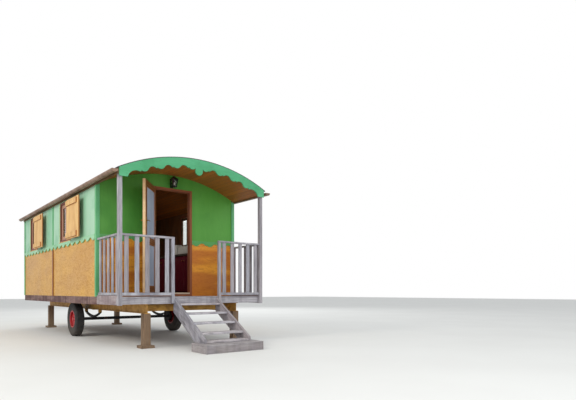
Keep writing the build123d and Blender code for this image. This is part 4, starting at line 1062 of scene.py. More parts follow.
def soft_box(name: str, low: Sequence[float], high: Sequence[float], power: float,
             rows: int = 25, columns: int = 48) -> bpy.types.Object:
    """Box with rounded edges, as a superellipsoid between two corners.

    Each direction's cosine and sine are raised to 2 over the power with their signs kept, and scaled by
    the half size, so a high power gives flat sides and small radii.

    Args:
        name: The piece's name.
        low: Lowest corner.
        high: Highest corner.
        power: How square the form is.
        rows: Points from the lowest to the highest.
        columns: Points round it.

    Returns:
        The object.
    """
    def bent(value: np.ndarray) -> np.ndarray:
        """Signed power of a cosine or sine."""
        return np.sign(value) * np.abs(value) ** (2.0 / power)

    up = np.linspace(-np.pi / 2, np.pi / 2, rows)[:, None]
    turn = np.linspace(0.0, 2 * np.pi, columns, endpoint=False)
    level, x, y, z = (bent(part) for part in (np.cos(up), np.cos(turn), np.sin(turn), np.sin(up)))
    shape = np.stack(np.broadcast_arrays(level * x, level * y, z), axis=-1)
    middle, half = np.add(low, high) / 2, np.subtract(high, low) / 2
    return mesh_piece(name, middle + shape * half, grid_quads(rows, columns), weld=True)


def band(name: str, centre: tuple, radii: tuple, y: Sequence, angles: tuple, bevel: float,
         steps: int = 24) -> bpy.types.Object:
    """One or more curved strips round an axis along Y, with a live bevel on their edges.

    A strip's section is a rectangle of two radii and two values of Y, carried round the arc: each point
    is the centre plus its radius times the cosine and sine of the angle. Both ends are closed.

    Args:
        name: The piece's name.
        centre: X and Z of the axis.
        radii: Inner and outer radius.
        y: Values of Y of a strip's two edges, or one such pair for each strip.
        angles: First and last angle, in radians.
        bevel: Width of the bevel.
        steps: Points along the arc.

    Returns:
        The object.
    """
    edges = np.atleast_2d(y)
    angle = np.linspace(*angles, steps)[:, None]
    radius = np.take(radii, [0, 1, 1, 0])
    along = edges[:, None, [0, 0, 1, 1]]
    points = np.stack(np.broadcast_arrays(centre[0] + radius * np.cos(angle), along,
                                          centre[1] + radius * np.sin(angle)), axis=-1)
    last = (steps - 1) * 4
    quads = np.concatenate([grid_quads(steps, 4), [[0, 1, 2, 3], [last + 3, last + 2, last + 1, last]]])
    shift = np.arange(len(edges))[:, None, None] * steps * 4
    made = mesh_piece(name, points, quads + shift, smooth=False, weld=True)
    modifier = made.modifiers.new("rounded_edges", "BEVEL")
    modifier.width, modifier.segments, modifier.limit_method = bevel, 2, "ANGLE"
    return made


@dataclass
class Roof:
    """Arched roof with its covering, boarded ceiling, eaves and gutters."""

    centre_z: float = 0.216
    soffit_radius: float = 2.940
    board_pitch: float = 0.096
    lap: float = 0.080
    lap_radii: tuple = (-0.004, 0.0026)
    gutter: tuple = (1.476, 2.838)
    strap_radii: tuple = (0.0504, 0.0545)
    strap_width: float = 0.046
    strap_places: tuple = (1.205, 2.510, 3.570, 5.000, 6.300)
    nail_pitch: float = 0.30
    nail_drop: float = 0.045
    nail_reach: float = 1.38
    felt: RoofFelt = RoofFelt("roof_felt_strips")
    plastic: Enamel = Enamel("gutter_brown_plastic", (140, 112, 92), (112, 86, 70), (150, 124, 106),
                             0.34, 0.15, 0.06)

    def felt_laps(self) -> None:
        """Raised laps across the arch, where one strip of felt lies over the next."""
        low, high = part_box("roof_covering")
        radius = high.z - self.centre_z
        lift = math.acos((high.x - 0.001) / radius)
        edge = np.arange(math.ceil(low.y / self.felt.strip), high.y / self.felt.strip) * self.felt.strip
        made = band("roof_felt_laps", (0.0, self.centre_z), np.add(radius, self.lap_radii),
                    np.stack([edge - self.lap, edge], axis=-1), (lift, math.pi - lift), 0.0012, 64)
        dress(made, self.felt)

    def gutter_straps(self) -> None:
        """Joint straps under both gutters."""
        for side, sign in SIDES:
            for number, place in enumerate(self.strap_places):
                edges = np.add(PORCH_LINE + place, (-self.strap_width / 2, self.strap_width / 2))
                made = band(f"gutter_joint_{side}_{number}", (sign * self.gutter[0], self.gutter[1]),
                            self.strap_radii, edges, (math.pi, 2 * math.pi), 0.001)
                dress(made, self.plastic)

    def fascia_nails(self) -> None:
        """A row of nail heads that follows the arch on each fascia board."""
        nails = Studs("fascia_nails", 0.0045, 0.0012)
        low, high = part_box("fascia_front")
        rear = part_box("fascia_rear")[1].y
        radius = high.z - self.centre_z - self.nail_drop
        reach = math.asin(self.nail_reach / radius)
        for angle in np.linspace(-reach, reach, int(2 * reach * radius / self.nail_pitch)):
            x, z = radius * math.sin(angle), self.centre_z + radius * math.cos(angle)
            nails.add((x, low.y, z), FORWARD)
            nails.add((x, rear, z), REARWARD)
        dress(nails.build(), NAIL_STEEL)

    def build(self) -> None:
        """Felt on top, boards below, brown gutters under dark eave boards, and the small parts."""
        coat_node(self.felt, "roof_covering")
        coat_node(ArchedBoards("arched_ceiling_boards", self.centre_z, self.soffit_radius, self.board_pitch),
                  "roof_shell", "ceiling_boards")
        coat_node(PaintedWood("eave_brown_paint", Grain.ALONG_Y, (112, 82, 50), (66, 44, 28), (134, 104, 70)),
                  "eave_boards")
        coat_node(self.plastic, "gutters")
        coat_node(PaintedWood("fascia_green_paint", Grain.ALONG_X, (64, 156, 104), (42, 124, 72),
                              (88, 176, 128), 0.5), "fascia_front", "fascia_rear")
        self.felt_laps()
        self.gutter_straps()
        self.fascia_nails()


@dataclass
class Cabin:
    """Cabin walls: painted upper panels, varnished lower ones, corner boards, battens and the fringe."""

    half: float = 1.400
    inner_x: float = 1.374
    front: float = PORCH_LINE + 1.050
    rear: float = PORCH_LINE + 6.730
    nail_pitch: float = 0.32
    skirt_rows: tuple = (0.745, 0.825)
    board_rows: tuple = (0.91, 2.70)
    end_gap: float = 0.1
    board_thick: float = 0.015
    board_middle: float = 0.018
    cheek_middle: float = 0.022

    def nails(self) -> None:
        """Nail rows on the skirt boards, corner boards and battens."""
        nails = Studs("trim_nails", 0.0045, 0.0012)
        (low, high), front, rear = self.board_rows, self.front, self.rear
        for _, sign in SIDES:
            x, out = sign * self.half, (float(sign), 0.0, 0.0)
            rows = [((x, front + self.end_gap, z), (x, rear - self.end_gap, z), out) for z in self.skirt_rows]
            board, cheek = sign * (self.half + self.board_thick), sign * (self.half - self.cheek_middle)
            for x, y, way in ((board, front + self.board_middle, out), (board, rear - self.board_middle, out),
                              (board, (front + rear) / 2, out), (cheek, front - self.board_thick, FORWARD),
                              (cheek, rear + self.board_thick, REARWARD)):
                rows.append(((x, y, low), (x, y, high), way))
            for start, end, normal in rows:
                for place in np.linspace(start, end, max(2, int(math.dist(start, end) / self.nail_pitch))):
                    nails.add(place, normal)
        dress(nails.build(), NAIL_STEEL)

    def build(self) -> None:
        """Pale mint sides and deep green ends, lit and shaded copies of one green paint: painted sunlight on
        the sides, painted shade on the ends. Ochre and orange-brown lower panels, and the trim's nails.
        """
        # The sides' pale mint is painted sunlight and the ends' deep green is painted shade, both standing
        # for one green paint.
        coat_node(PaintedWood("upper_side_sunlit_green_paint", Grain.ALONG_Z, (132, 190, 154), (84, 164, 122),
                              (166, 204, 176), 0.6, 0.2, inner=self.inner_x),
                  "wall_left_upper", "wall_right_upper")
        coat_node(PaintedWood("upper_end_shaded_green_paint", Grain.ALONG_Z, (76, 150, 46), (54, 124, 40),
                              (88, 160, 58), 0.4, 0.2), "wall_front_upper", "wall_rear_upper")
        coat_node(VarnishedPanel("lower_side_ochre_ply", Grain.ALONG_Y, (200, 145, 30), (158, 102, 20),
                                 (212, 161, 46), 46.0, 0.2, 0.5, 0.78, self.inner_x),
                  "wall_left_lower", "wall_right_lower")
        coat_node(VarnishedPanel("lower_end_orange_varnish", Grain.ALONG_X, (216, 130, 8), (178, 94, 4),
                                 (240, 168, 36), 34.0, 0.3), "wall_front_lower", "wall_rear_lower")
        coat_node(PaintedWood("corner_green_paint", Grain.ALONG_Z, (84, 166, 106), (56, 132, 82),
                              (110, 188, 130), 0.4, 0.4), "corner_boards")
        coat_node(StainedWood("lower_batten_red_brown", Grain.ALONG_Z, (138, 72, 40), (84, 38, 20)),
                  "lower_battens")
        # The fringe's mint on its side faces is painted sunlight, and its deep green end faces are painted
        # shade, as on the walls.
        coat_node(PaintedWood("fringe_sunlit_and_shaded_green_paint", Grain.ALONG_Y, (138, 196, 152), (84, 164, 114),
                              (164, 206, 170), 0.4, 0.4, ends=(84, 156, 78)), "fringe_boards")
        coat_node(StainedWood("floor_boards_brown", Grain.ALONG_Y, (128, 92, 62), (80, 54, 34)), "floor")
        coat_node(GREY_X, "floor_bearers")
        coat_node(WeatheredTimber("skirt_boards_weathered", Grain.ALONG_Y, (150, 124, 118), (104, 74, 72),
                                  (58, 34, 34), (104, 62, 56), 0.85), "skirt_boards")
        self.nails()


@dataclass
class Windows:
    """Four windows with frames, sashes of two casements, casings and sills."""

    half: float = 1.400
    starts: tuple = (2.570, 5.290)
    width: float = 0.770
    low: float = 1.955
    high: float = 2.770
    frame: float = 0.042
    stile: float = 0.075
    sash: tuple = (1.3605, 1.3785)
    lip: tuple = (1.3785, 1.3845)
    lip_half: float = 0.014
    joint_half: float = 0.0008
    casing: float = 0.045
    casing_gap: float = 0.001
    casing_reach: tuple = (-0.014, 0.008)
    sill_reach: float = 0.02
    sill_drop: tuple = (-0.0145, -0.0002)
    trim_depths: tuple = ((0.0, 0.011), (0.0, 0.003), (-0.035, 0.022))

    def sashes(self) -> None:
        """Two casements in each frame: stiles, rails and a meeting stile over the glass."""
        wood = StainedWood("sash_pinkish_brown", Grain.ON_BOARD, (186, 140, 114), (140, 92, 70))
        z0, z1 = self.low + self.frame, self.high - self.frame
        for side, sign in SIDES:
            boards = Boards(f"window_sashes_{side}", 0.004)
            x, lip = np.multiply(sign, (self.sash, self.lip))
            for start in self.starts:
                y0 = PORCH_LINE + start + self.frame
                y1 = y0 + self.width - 2 * self.frame
                middle, stile, joint = (y0 + y1) / 2, self.stile, self.joint_half
                for y in ((y0, y0 + stile), (y1 - stile, y1), (middle - stile, middle - joint),
                          (middle + joint, middle + stile)):
                    boards.add(x, y, (z0, z1), Grain.ALONG_Z)
                for y in ((y0 + stile, middle - stile), (middle + stile, y1 - stile)):
                    boards.add(x, y, (z0, z0 + stile), Grain.ALONG_Y)
                    boards.add(x, y, (z1 - stile, z1), Grain.ALONG_Y)
                boards.add(lip, (middle - self.lip_half, middle + self.lip_half), (z0, z1), Grain.ALONG_Z)
            dress(boards.build(), wood)

    def casings(self) -> None:
        """Pale green strips beside each frame and a golden sill below it.

        The trim depths are those of the rear strip, the front strip and the sill, from the wall's face.
        """
        green = PaintedWood("casing_pale_green_paint", Grain.ON_BOARD, (172, 206, 156), (118, 176, 120),
                            (200, 220, 178), 0.3, 0.3)
        gold = StainedWood("sill_golden_pine", Grain.ON_BOARD, (226, 180, 104), (176, 122, 60))
        upright = np.add((self.low, self.high), self.casing_reach)
        flat = np.add(self.low, self.sill_drop)
        for side, sign in SIDES:
            strips = Boards(f"window_casings_{side}", 0.002)
            sills = Boards(f"window_sills_{side}", 0.003)
            rear, front, sill = sign * np.add(self.half, self.trim_depths)
            for start in self.starts:
                y0 = PORCH_LINE + start
                y1 = y0 + self.width
                strips.add(rear, (y1 + self.casing_gap, y1 + self.casing), upright, Grain.ALONG_Z)
                strips.add(front, (y0 - self.casing, y0 - self.casing_gap), upright, Grain.ALONG_Z)
                sills.add(sill, (y0 - self.sill_reach, y1 + self.sill_reach), flat, Grain.ALONG_Y)
            dress(strips.build(), green)
            dress(sills.build(), gold)

    def build(self) -> None:
        """Dark red-brown frames and clear panes, with sashes, casings and sills."""
        coat_node(StainedWood("window_frame_red_brown", Grain.ALONG_Z, (128, 62, 42), (78, 34, 24)),
                  "window_frames")
        coat_node(Glass("window_glass_clear"), "window_glass")
        self.sashes()
        self.casings()


@dataclass
class Porch:
    """Porch deck with its posts and railings, and the steps up to it.

    A tread is its front and rear Y from the porch line, and the height of its underside.
    """

    deck_boards: int = 8
    gap: float = 0.006
    deck_screw: float = 0.022
    deck_joists: int = 5
    rail_top: float = 1.860
    rail_thick: float = 0.032
    rail_half: float = 0.030
    low_rail: tuple = (0.872, 0.920)
    low_half: float = 0.015
    baluster: float = 0.072
    baluster_half: float = 0.010
    balusters: int = 5
    end_share: float = 0.41
    baluster_screw: float = 0.018
    baluster_shares: tuple = (0.28, 0.72)
    front_start: float = 0.4825
    front_length: float = 0.852
    front_cap: float = 0.050
    front_line: float = PORCH_LINE + 0.062
    side_line: float = 1.366
    treads: tuple = ((-0.9594, -0.7344, 0.1350), (-0.8040, -0.5790, 0.2530), (-0.5580, -0.3330, 0.4030),
                     (-0.3120, -0.0870, 0.5530), (-0.0660, 0.0870, 0.7030))
    tread: float = 0.032
    tread_half: float = 0.392
    tread_screw: float = 0.03
    tread_shares: tuple = (0.22, 0.6)
    slope: float = 0.5475
    platform_board: float = 0.027
    platform_frame: float = 0.040
    platform_boards: int = 4
    platform_screws: tuple = (0.02, 0.03)

    def deck(self) -> None:
        """Deck boards across the porch with open joints."""
        low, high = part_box("porch_deck")
        pitch = (high.y - low.y + self.gap) / self.deck_boards
        made, screws = Boards("deck_boards"), Studs("deck_screws", 0.0050, 0.0012)
        for number in range(self.deck_boards):
            y0 = low.y + number * pitch
            y1 = y0 + pitch - self.gap
            made.add((low.x, high.x), (y0, y1), (low.z, high.z), Grain.ALONG_X)
            for x in np.linspace(low.x + self.deck_screw, high.x - self.deck_screw, self.deck_joists):
                for y in (y0 + self.deck_screw, y1 - self.deck_screw):
                    screws.add((x, y, high.z), UP)
        dress(made.build(), GREY_BOARD, replaces=["porch_deck"])
        dress(screws.build(), SCREW_STEEL)

    def panel(self, made: Boards, screws: Studs, start: float, length: float, cap: float, line: float,
              sign: int, along: Grain) -> None:
        """One railing along X or Y.

        Args:
            made: The boards to add to.
            screws: The screw heads to add to.
            start: Distance of its near end from the middle line, or its lowest Y.
            length: Length between the posts.
            cap: Length of the top rail over the stair post.
            line: Its place across, the middle of the balusters.
            sign: Side of the wagon, -1 or 1.
            along: Axis that it runs along.
        """
        across = along is Grain.ALONG_X

        def place(a: float, b: float, half: float) -> tuple:
            """Place a length of the railing.

            Args:
                a: Its near end, along the railing.
                b: Its far end.
                half: Its half thickness.

            Returns:
                Its bounds in X and in Y.
            """
            if across:
                return (sign * a, sign * b), (line - half, line + half)
            return (sign * line - half, sign * line + half), (a, b)

        top = self.rail_top - self.rail_thick
        made.add(*place(start - cap, start + length, self.rail_half), (top, self.rail_top), along)
        made.add(*place(start, start + length, self.low_half), self.low_rail, along)
        gap = (length - self.balusters * self.baluster) / (self.balusters - 1 + 2 * self.end_share)
        numbers = range(self.balusters)
        for number in reversed(numbers) if across else numbers:
            near = start + gap * self.end_share + number * (self.baluster + gap)
            x, y = place(near, near + self.baluster, self.baluster_half)
            made.add(x, y, (self.low_rail[1], top), Grain.ALONG_Z)
            for z in (self.low_rail[1] + self.baluster_screw, top - self.baluster_screw):
                for share in self.baluster_shares:
                    if across:
                        screws.add((x[0] + (x[1] - x[0]) * share, min(y), z), FORWARD)
                    else:
                        screws.add((max(x, key=abs), y[0] + (y[1] - y[0]) * share, z),
                                   (float(sign), 0.0, 0.0))

    def railings(self) -> None:
        """Railings beside the steps and at both sides of the porch."""
        screws = Studs("railing_screws", 0.0045, 0.0014)
        front, sides = Boards("front_railing_boards", 0.0035), Boards("side_railing_boards", 0.0035)
        low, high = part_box("side_railings")
        for _, sign in SIDES:
            self.panel(front, screws, self.front_start, self.front_length, self.front_cap, self.front_line,
                       sign, Grain.ALONG_X)
            self.panel(sides, screws, low.y, high.y - low.y, 0.0, self.side_line, sign, Grain.ALONG_Y)
        dress(front.build(), GREY_BOARD, replaces=["front_railings"])
        dress(sides.build(), GREY_BOARD, replaces=["side_railings"])
        dress(screws.build(), SCREW_STEEL)

    def steps(self) -> None:
        """Treads between the stringers and the low platform of boards on a frame."""
        treads, platform = Boards("tread_boards", 0.005), Boards("platform_boards", 0.005)
        screws = Studs("step_screws", 0.0055, 0.0014)
        edge = self.tread_half - self.tread_screw
        for y0, y1, z in self.treads:
            y = (PORCH_LINE + y0, PORCH_LINE + y1)
            treads.add((-self.tread_half, self.tread_half), y, (z, z + self.tread), Grain.ALONG_X)
            for x in (-edge, edge):
                for share in self.tread_shares:
                    screws.add((x, y[0] + (y[1] - y[0]) * share, z + self.tread), UP)
        low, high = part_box("step_platform")
        deck, frame_wide = high.z - self.platform_board, self.platform_frame
        for y in ((low.y, low.y + frame_wide), (high.y - frame_wide, high.y)):
            platform.add((low.x, high.x), y, (0.0, deck), Grain.ALONG_X)
        for x in ((low.x, low.x + frame_wide), (high.x - frame_wide, high.x)):
            platform.add(x, (low.y + frame_wide, high.y - frame_wide), (0.0, deck), Grain.ALONG_Y)
        pitch = (high.y - low.y + self.gap) / self.platform_boards
        from_end, from_edge = self.platform_screws
        for number in range(self.platform_boards):
            y0 = low.y + number * pitch
            y1 = y0 + pitch - self.gap
            platform.add((low.x, high.x), (y0, y1), (deck, high.z), Grain.ALONG_X)
            for x in (low.x + from_end, high.x - from_end):
                for y in (y0 + from_edge, y1 - from_edge):
                    screws.add((x, y, high.z), UP)
        pale = WeatheredTimber("tread_timber_pale", Grain.ON_BOARD, (214, 211, 216), (180, 177, 186),
                               (104, 98, 104), (198, 184, 180))
        # The platform's timber is a darker copy of the grey: painted shade.
        darker = WeatheredTimber("platform_timber_shaded_grey", Grain.ON_BOARD, (176, 173, 179), (132, 129, 137))
        dress(treads.build(), pale, replaces=["step_treads"])
        dress(platform.build(), darker, replaces=["step_platform"])
        dress(screws.build(), SCREW_STEEL)

    def build(self) -> None:
        """Grey timber along each fixed part's own length, and the boards of deck, railings and steps."""
        coat_node(GREY_X, "porch_joists")
        coat_node(WeatheredTimber("rim_boards_pale", Grain.ALONG_Y, (174, 164, 166), (138, 126, 130),
                                  (84, 72, 76), (168, 140, 136)), "porch_rims")
        coat_node(GREY_Z, "porch_posts")
        coat_node(WeatheredTimber("grey_timber_sloping", Grain.ALONG_Y, (172, 170, 179), (130, 128, 139),
                                  slope=self.slope), "step_stringers")
        self.deck()
        self.railings()
        self.steps()


@dataclass
class PorchLamp:
    """Square carriage lamp over the door with its panes, bulb holder and bulb."""

    y: float = PORCH_LINE + 0.945
    low: float = 2.929
    high: float = 3.059
    foot: float = 0.085
    top: float = 0.118
    inset: float = 0.0052
    pane: float = 0.002
    pane_gap: float = 0.001
    holder: float = 0.026
    neck: float = 0.011
    swell: float = 0.009
    bulb_height: float = 0.062

    def panes(self) -> None:
        """Glass on the cage's inner faces: a square tube whose half width grows evenly with height."""
        half = np.array([self.foot, self.top]) / 2 - self.inset
        radii = np.concatenate([half, half[::-1] - self.pane, half[:1]]) * math.sqrt(2.0)
        heights = np.take([self.low + self.pane_gap, self.high - self.pane_gap], [0, 1, 1, 0, 0])
        made = turned_piece("lamp_panes", radii, heights, (0.0, self.y, 0.0), sides=4, phase=math.pi / 4,
                            smooth=False)
        dress(made, Glass("lamp_glass_clear", (244, 244, 236)))

    def bulb(self) -> None:
        """Brass holder and an opal pear-shaped bulb on the foot.

        The bulb's radius is its neck's, plus a swelling by the sine of a half turn, less the neck by the
        fourth power of the share of that turn, so that it closes on top. Its height follows the cosine.
        """
        centre = (0.0, self.y, self.low)
        holder = turned_piece("lamp_bulb_holder", (0.0, 0.014, 0.015, 0.013, 0.013, 0.0),
                              (0.0, 0.0, 0.004, 0.008, self.holder, self.holder), centre)
        brass = Enamel("holder_brass", (190, 150, 80), (140, 104, 48), (214, 180, 110), 0.25, 0.3, 0.1, 1.0)
        dress(holder, brass)
        rise = np.linspace(0.0, np.pi, 14)
        radii = self.neck + self.swell * np.sin(rise) ** 1.5 - self.neck * (rise / np.pi) ** 4
        heights = self.holder + self.bulb_height * (1.0 - np.cos(rise)) / 2
        dress(turned_piece("lamp_bulb", radii.clip(0.0), heights, centre), PorcelainGlaze("bulb_opal_glass"))

    def build(self) -> None:
        """Black cage, glazed, with its bulb."""
        coat_node(Casting("lamp_black_iron", (26, 26, 28)), "lamp")
        self.panes()
        self.bulb()


@dataclass
class Doorway:
    """Door with its frame, strap hinges, handle and pins."""

    pin: tuple = (-0.380, PORCH_LINE + 1.031)
    angle: float = 127.5
    stile: tuple = (0.109, 0.651)
    panels: tuple = ((1.029, 1.7715), (1.8765, 2.761))
    bead: float = 0.013
    bead_depths: tuple = ((0.0105, 0.0182), (0.0478, 0.0555))
    strip_half: float = 0.379
    strip_y: tuple = (-0.003, 0.009)
    strip_z: tuple = (0.888, 0.9175)

    def beads(self) -> None:
        """Beads round both panels on both faces, set along X and then turned about the pin."""
        made = Boards("door_panel_beads")
        u0, u1 = self.stile
        for depth in self.bead_depths:
            for z0, z1 in self.panels:
                for z in ((z0, z0 + self.bead), (z1 - self.bead, z1)):
                    made.add((u0, u1), depth, z, Grain.ALONG_X)
                for u in ((u0, u0 + self.bead), (u1 - self.bead, u1)):
                    made.add(u, depth, (z0 + self.bead, z1 - self.bead), Grain.ALONG_Z)
        beads = made.build()
        turn = Matrix.Rotation(-math.radians(self.angle), 4, "Z")
        beads.data.transform(Matrix.Translation((*self.pin, 0.0)) @ turn)
        pine = StainedWood("door_bead_pine", Grain.ON_BOARD, (164, 104, 54), (104, 60, 28))
        dress(beads, pine, "door")

    def threshold(self) -> None:
        """Pale strip along the front of the doorway's sill."""
        strip = Boards("doorway_threshold")
        strip.add((-self.strip_half, self.strip_half), np.add(self.pin[1], self.strip_y), self.strip_z,
                  Grain.ALONG_X)
        pale = StainedWood("threshold_pale_pine", Grain.ON_BOARD, (214, 196, 172), (160, 134, 108))
        dress(strip.build(), pale)

    def build(self) -> None:
        """Red-brown frame, a pine door with pale beaded panels, and the threshold strip."""
        coat_node(StainedWood("door_frame_red_brown", Grain.ALONG_Z, (156, 86, 44), (100, 48, 22)),
                  "door_frame")
        coat_node(DoorLeafFinish("door_pine_panels_and_edge_highlight", self.pin, self.angle, self.stile, self.panels),
                  "door_leaf")
        coat_node(BRASS, "door_hardware")
        coat_node(Casting("hinge_black_iron"), "hinge_pins")
        self.beads()
        self.threshold()


@dataclass
class Shutters:
    """Four window shutters on strap hinges."""

    starts: tuple = (PORCH_LINE + 1.756, PORCH_LINE + 4.476)
    width: float = 0.770
    low: float = 1.950
    high: float = 2.710
    batten_face: float = 1.518
    columns: int = 6
    column_shares: tuple = (0.2, 0.92)
    screw_rows: tuple = (0.048, 0.097)

    def build(self) -> None:
        """Golden pine with reddish edges, black straps, and screw heads that ride with each shutter."""
        pine = StainedWood("shutter_golden_pine", Grain.ALONG_Z, (230, 190, 122), (186, 130, 64),
                           (160, 96, 50))
        straps = Casting("strap_black_iron")
        steel = Casting("shutter_screw_steel", (150, 120, 80), 0.8)
        rows = (*np.add(self.low, self.screw_rows), *np.subtract(self.high, self.screw_rows))
        for side, sign in SIDES:
            for end, start in zip(("front", "rear"), self.starts):
                coat_node(pine, f"shutter_{side}_{end}")
                coat_node(straps, f"straps_{side}_{end}")
                heads = Studs(f"shutter_screws_{side}_{end}", 0.005, 0.0012)
                for share in np.linspace(*self.column_shares, self.columns):
                    for z in rows:
                        heads.add((sign * self.batten_face, start + share * self.width, z),
                                  (float(sign), 0.0, 0.0))
                dress(heads.build(), steel, f"shutter_{side}_{end}")


@dataclass
class RunningGear:
    """Chassis with its axle, springs, wheels, drawbar, towing eye and props."""

    radius: float = 0.360
    wheel_x: float = 1.115
    wheel_y: float = PORCH_LINE + 3.250
    across: tuple = (0.060, 0.062, 0.068, 0.077, 0.084, 0.085, 0.084, 0.079, 0.071, 0.064, 0.0)
    reach: tuple = (0.166, 0.172, 0.186, 0.208, 0.244, 0.272, 0.304, 0.334, 0.349, 0.3565, 0.360)
    section_steps: int = 46
    turns: int = 288
    lugs: int = 36
    grooves: tuple = (-0.028, 0.0, 0.028)
    groove_half: float = 0.0032
    groove_edge: float = 1.6
    groove_start: tuple = (0.3535, 0.003)
    tread_depth: float = 0.0065
    lug_slant: float = 40.0
    lug_wave: tuple = (0.55, 1.0 / 6.0)
    lug_inner: tuple = (0.036, 0.004)
    lug_outer: tuple = (0.336, 0.006)
    lug_share: float = 0.8
    side_rings: tuple = (0.300, 0.226)
    ring_height: float = 0.0012
    ring_width: float = 0.003
    bead_half: float = 0.05
    disc: float = 0.030
    valve_circle: float = 0.144
    bead_radius: float = 0.135
    pressed: tuple = (0.004, 0.0025)

    def tyre(self, name: str, sign: int) -> bpy.types.Object:
        """Tyre with a crowned tread, round shoulders and bulging side walls.

        The section is a table of half widths and radii, resampled by length. It is swept round X: each
        point is the centre plus its radius times the cosine and sine of the turn. Between the shoulders
        the radius drops into grooves round the tyre, and at each shoulder into slots between the lugs,
        where a wave of the turn, shifted by the place across, is high.

        Args:
            name: The piece's name.
            sign: Side of the wagon, -1 or 1.

        Returns:
            The object.
        """
        def ramp(value: np.ndarray, start: float, width: float) -> np.ndarray:
            """Rise from 0 to 1 over a width."""
            return np.clip((value - start) / width, 0.0, 1.0)

        length = np.cumsum([0.0, *np.hypot(np.diff(self.across), np.diff(self.reach))])
        steps = np.linspace(0.0, length[-1], self.section_steps)
        half_x, half_r = np.interp(steps, length, self.across), np.interp(steps, length, self.reach)
        x, r = np.concatenate([half_x, -half_x[-2::-1]]), np.concatenate([half_r, half_r[-2::-1]])
        turn = np.linspace(0.0, 2 * np.pi, self.turns, endpoint=False)[:, None]
        away = np.abs(x[:, None] - self.grooves).min(axis=1)
        groove = np.clip(self.groove_edge - away / self.groove_half, 0.0, 1.0) * ramp(r, *self.groove_start)
        wave = np.sin(self.lugs * turn + self.lug_slant * np.abs(x))
        lug = ramp(wave, *self.lug_wave) * ramp(np.abs(x), *self.lug_inner) * ramp(r, *self.lug_outer)
        ring = self.ring_height * sum(np.exp(-((r - place) / self.ring_width) ** 2)
                                      for place in self.side_rings)
        drawn = r - self.tread_depth * np.maximum(groove, lug * self.lug_share)
        bulge = max(self.across)
        wide = np.clip(x + np.sign(x) * ring * (np.abs(x) > self.bead_half), -bulge, bulge) + 0.0 * turn
        points = np.stack([sign * self.wheel_x + wide, self.wheel_y + drawn * np.cos(turn),
                           self.radius + drawn * np.sin(turn)], axis=-1)
        return mesh_piece(name, points, grid_quads(*points.shape[:2], close_rows=True), weld=True)

    def wheel(self, side: str, sign: int) -> None:
        """Tyre, a valve stem on the disc between two hand holes, and a flat oval ring pressed in the disc.

        Args:
            side: Name of the side.
            sign: Side of the wagon, -1 or 1.
        """
        body = f"wheel_{side}"
        dress(self.tyre(f"road_tyre_{side}", sign), Rubber("tyre_rubber"), body, [f"tyre_{side}"])
        face = sign * (self.wheel_x + self.disc)
        offset = self.valve_circle * math.sqrt(0.5)
        stem = turned_piece(f"valve_{side}", (0.0, 0.0055, 0.0055, 0.0038, 0.0038, 0.0),
                            np.array([-0.001, -0.001, 0.022, 0.025, 0.034, 0.034]) * sign,
                            (face, self.wheel_y + offset, self.radius + offset), axis=0, sides=16)
        dress(stem, Rubber("valve_rubber"), body)
        section = np.linspace(0.0, 2 * np.pi, 13)
        wide, high = self.pressed
        pressed = turned_piece(f"rim_bead_{side}", self.bead_radius + wide * np.cos(section),
                               high * np.sin(section) * sign, (face, self.wheel_y, self.radius),
                               axis=0, sides=72)
        dress(pressed, RIM_RED, body)

    def build(self) -> None:
        """Ochre-brown chassis paint, brown props, black iron, red rims, and the wheels' own pieces."""
        coat_node(Enamel("chassis_ochre_paint", (196, 146, 62), (150, 104, 42), (110, 66, 42), 0.5),
                  "chassis_rails", "cross_members", "drawbar", "spring_hangers")
        coat_node(WeatheredTimber("prop_timber_brown", Grain.ALONG_Z, (150, 126, 100), (116, 92, 70),
                                  (64, 48, 36), (132, 98, 70)), "props")
        coat_node(Casting("axle_black_iron"), "axle", "leaf_springs", "towing_eye")
        coat_node(RIM_RED, "wheel_rim_left", "wheel_rim_right")
        for side, sign in SIDES:
            self.wheel(side, sign)


@dataclass
class Kitchen:
    """Kitchen cupboard and worktop seen through the doorway, with knobs and two plain boxes.

    A box is its name, its low and high corner in X and Y, its height and how square it is.
    """

    face: float = 0.730
    start: float = PORCH_LINE + 1.420
    length: float = 2.200
    doors: int = 4
    top: float = 1.750
    knob_z: float = 1.600
    knob_shares: tuple = (0.9, 0.1)
    boxes: tuple = (("bread_bin", (0.80, 1.90), (1.14, 2.42), 0.19, 9.0),
                    ("flour_box", (0.82, 2.50), (0.98, 2.66), 0.24, 10.0))

    def build(self) -> None:
        """Maroon cupboard under a dark worktop, a knob near each door's free edge, and plain boxes on top."""
        coat_node(PaintedWood("cupboard_maroon_paint", Grain.ALONG_Z, (96, 6, 30), (64, 3, 18), (116, 18, 42),
                              0.3, 0.2), "kitchen_cupboard")
        coat_node(VarnishedPanel("worktop_dark_laminate", Grain.ALONG_Y, (74, 58, 50), (44, 32, 28),
                                 (106, 88, 74), 90.0, 0.6), "kitchen_worktop")
        radii = (0.0, 0.006, 0.006, 0.011, 0.014, 0.013, 0.008, 0.0)
        heights = np.array([0.0, 0.0, -0.012, -0.015, -0.020, -0.025, -0.029, -0.030])
        for number in range(self.doors):
            y = self.start + (number + self.knob_shares[number % 2]) * self.length / self.doors
            place = (self.face, y, self.knob_z)
            knob = turned_piece(f"cupboard_knob_{number}", radii, heights, place, axis=0)
            dress(knob, BRASS)
        for name, low, high, tall, power in self.boxes:
            made = soft_box(name, (low[0], PORCH_LINE + low[1], self.top),
                            (high[0], PORCH_LINE + high[1], self.top + tall), power)
            dress(made, PorcelainGlaze("bread_bin_enamel"))


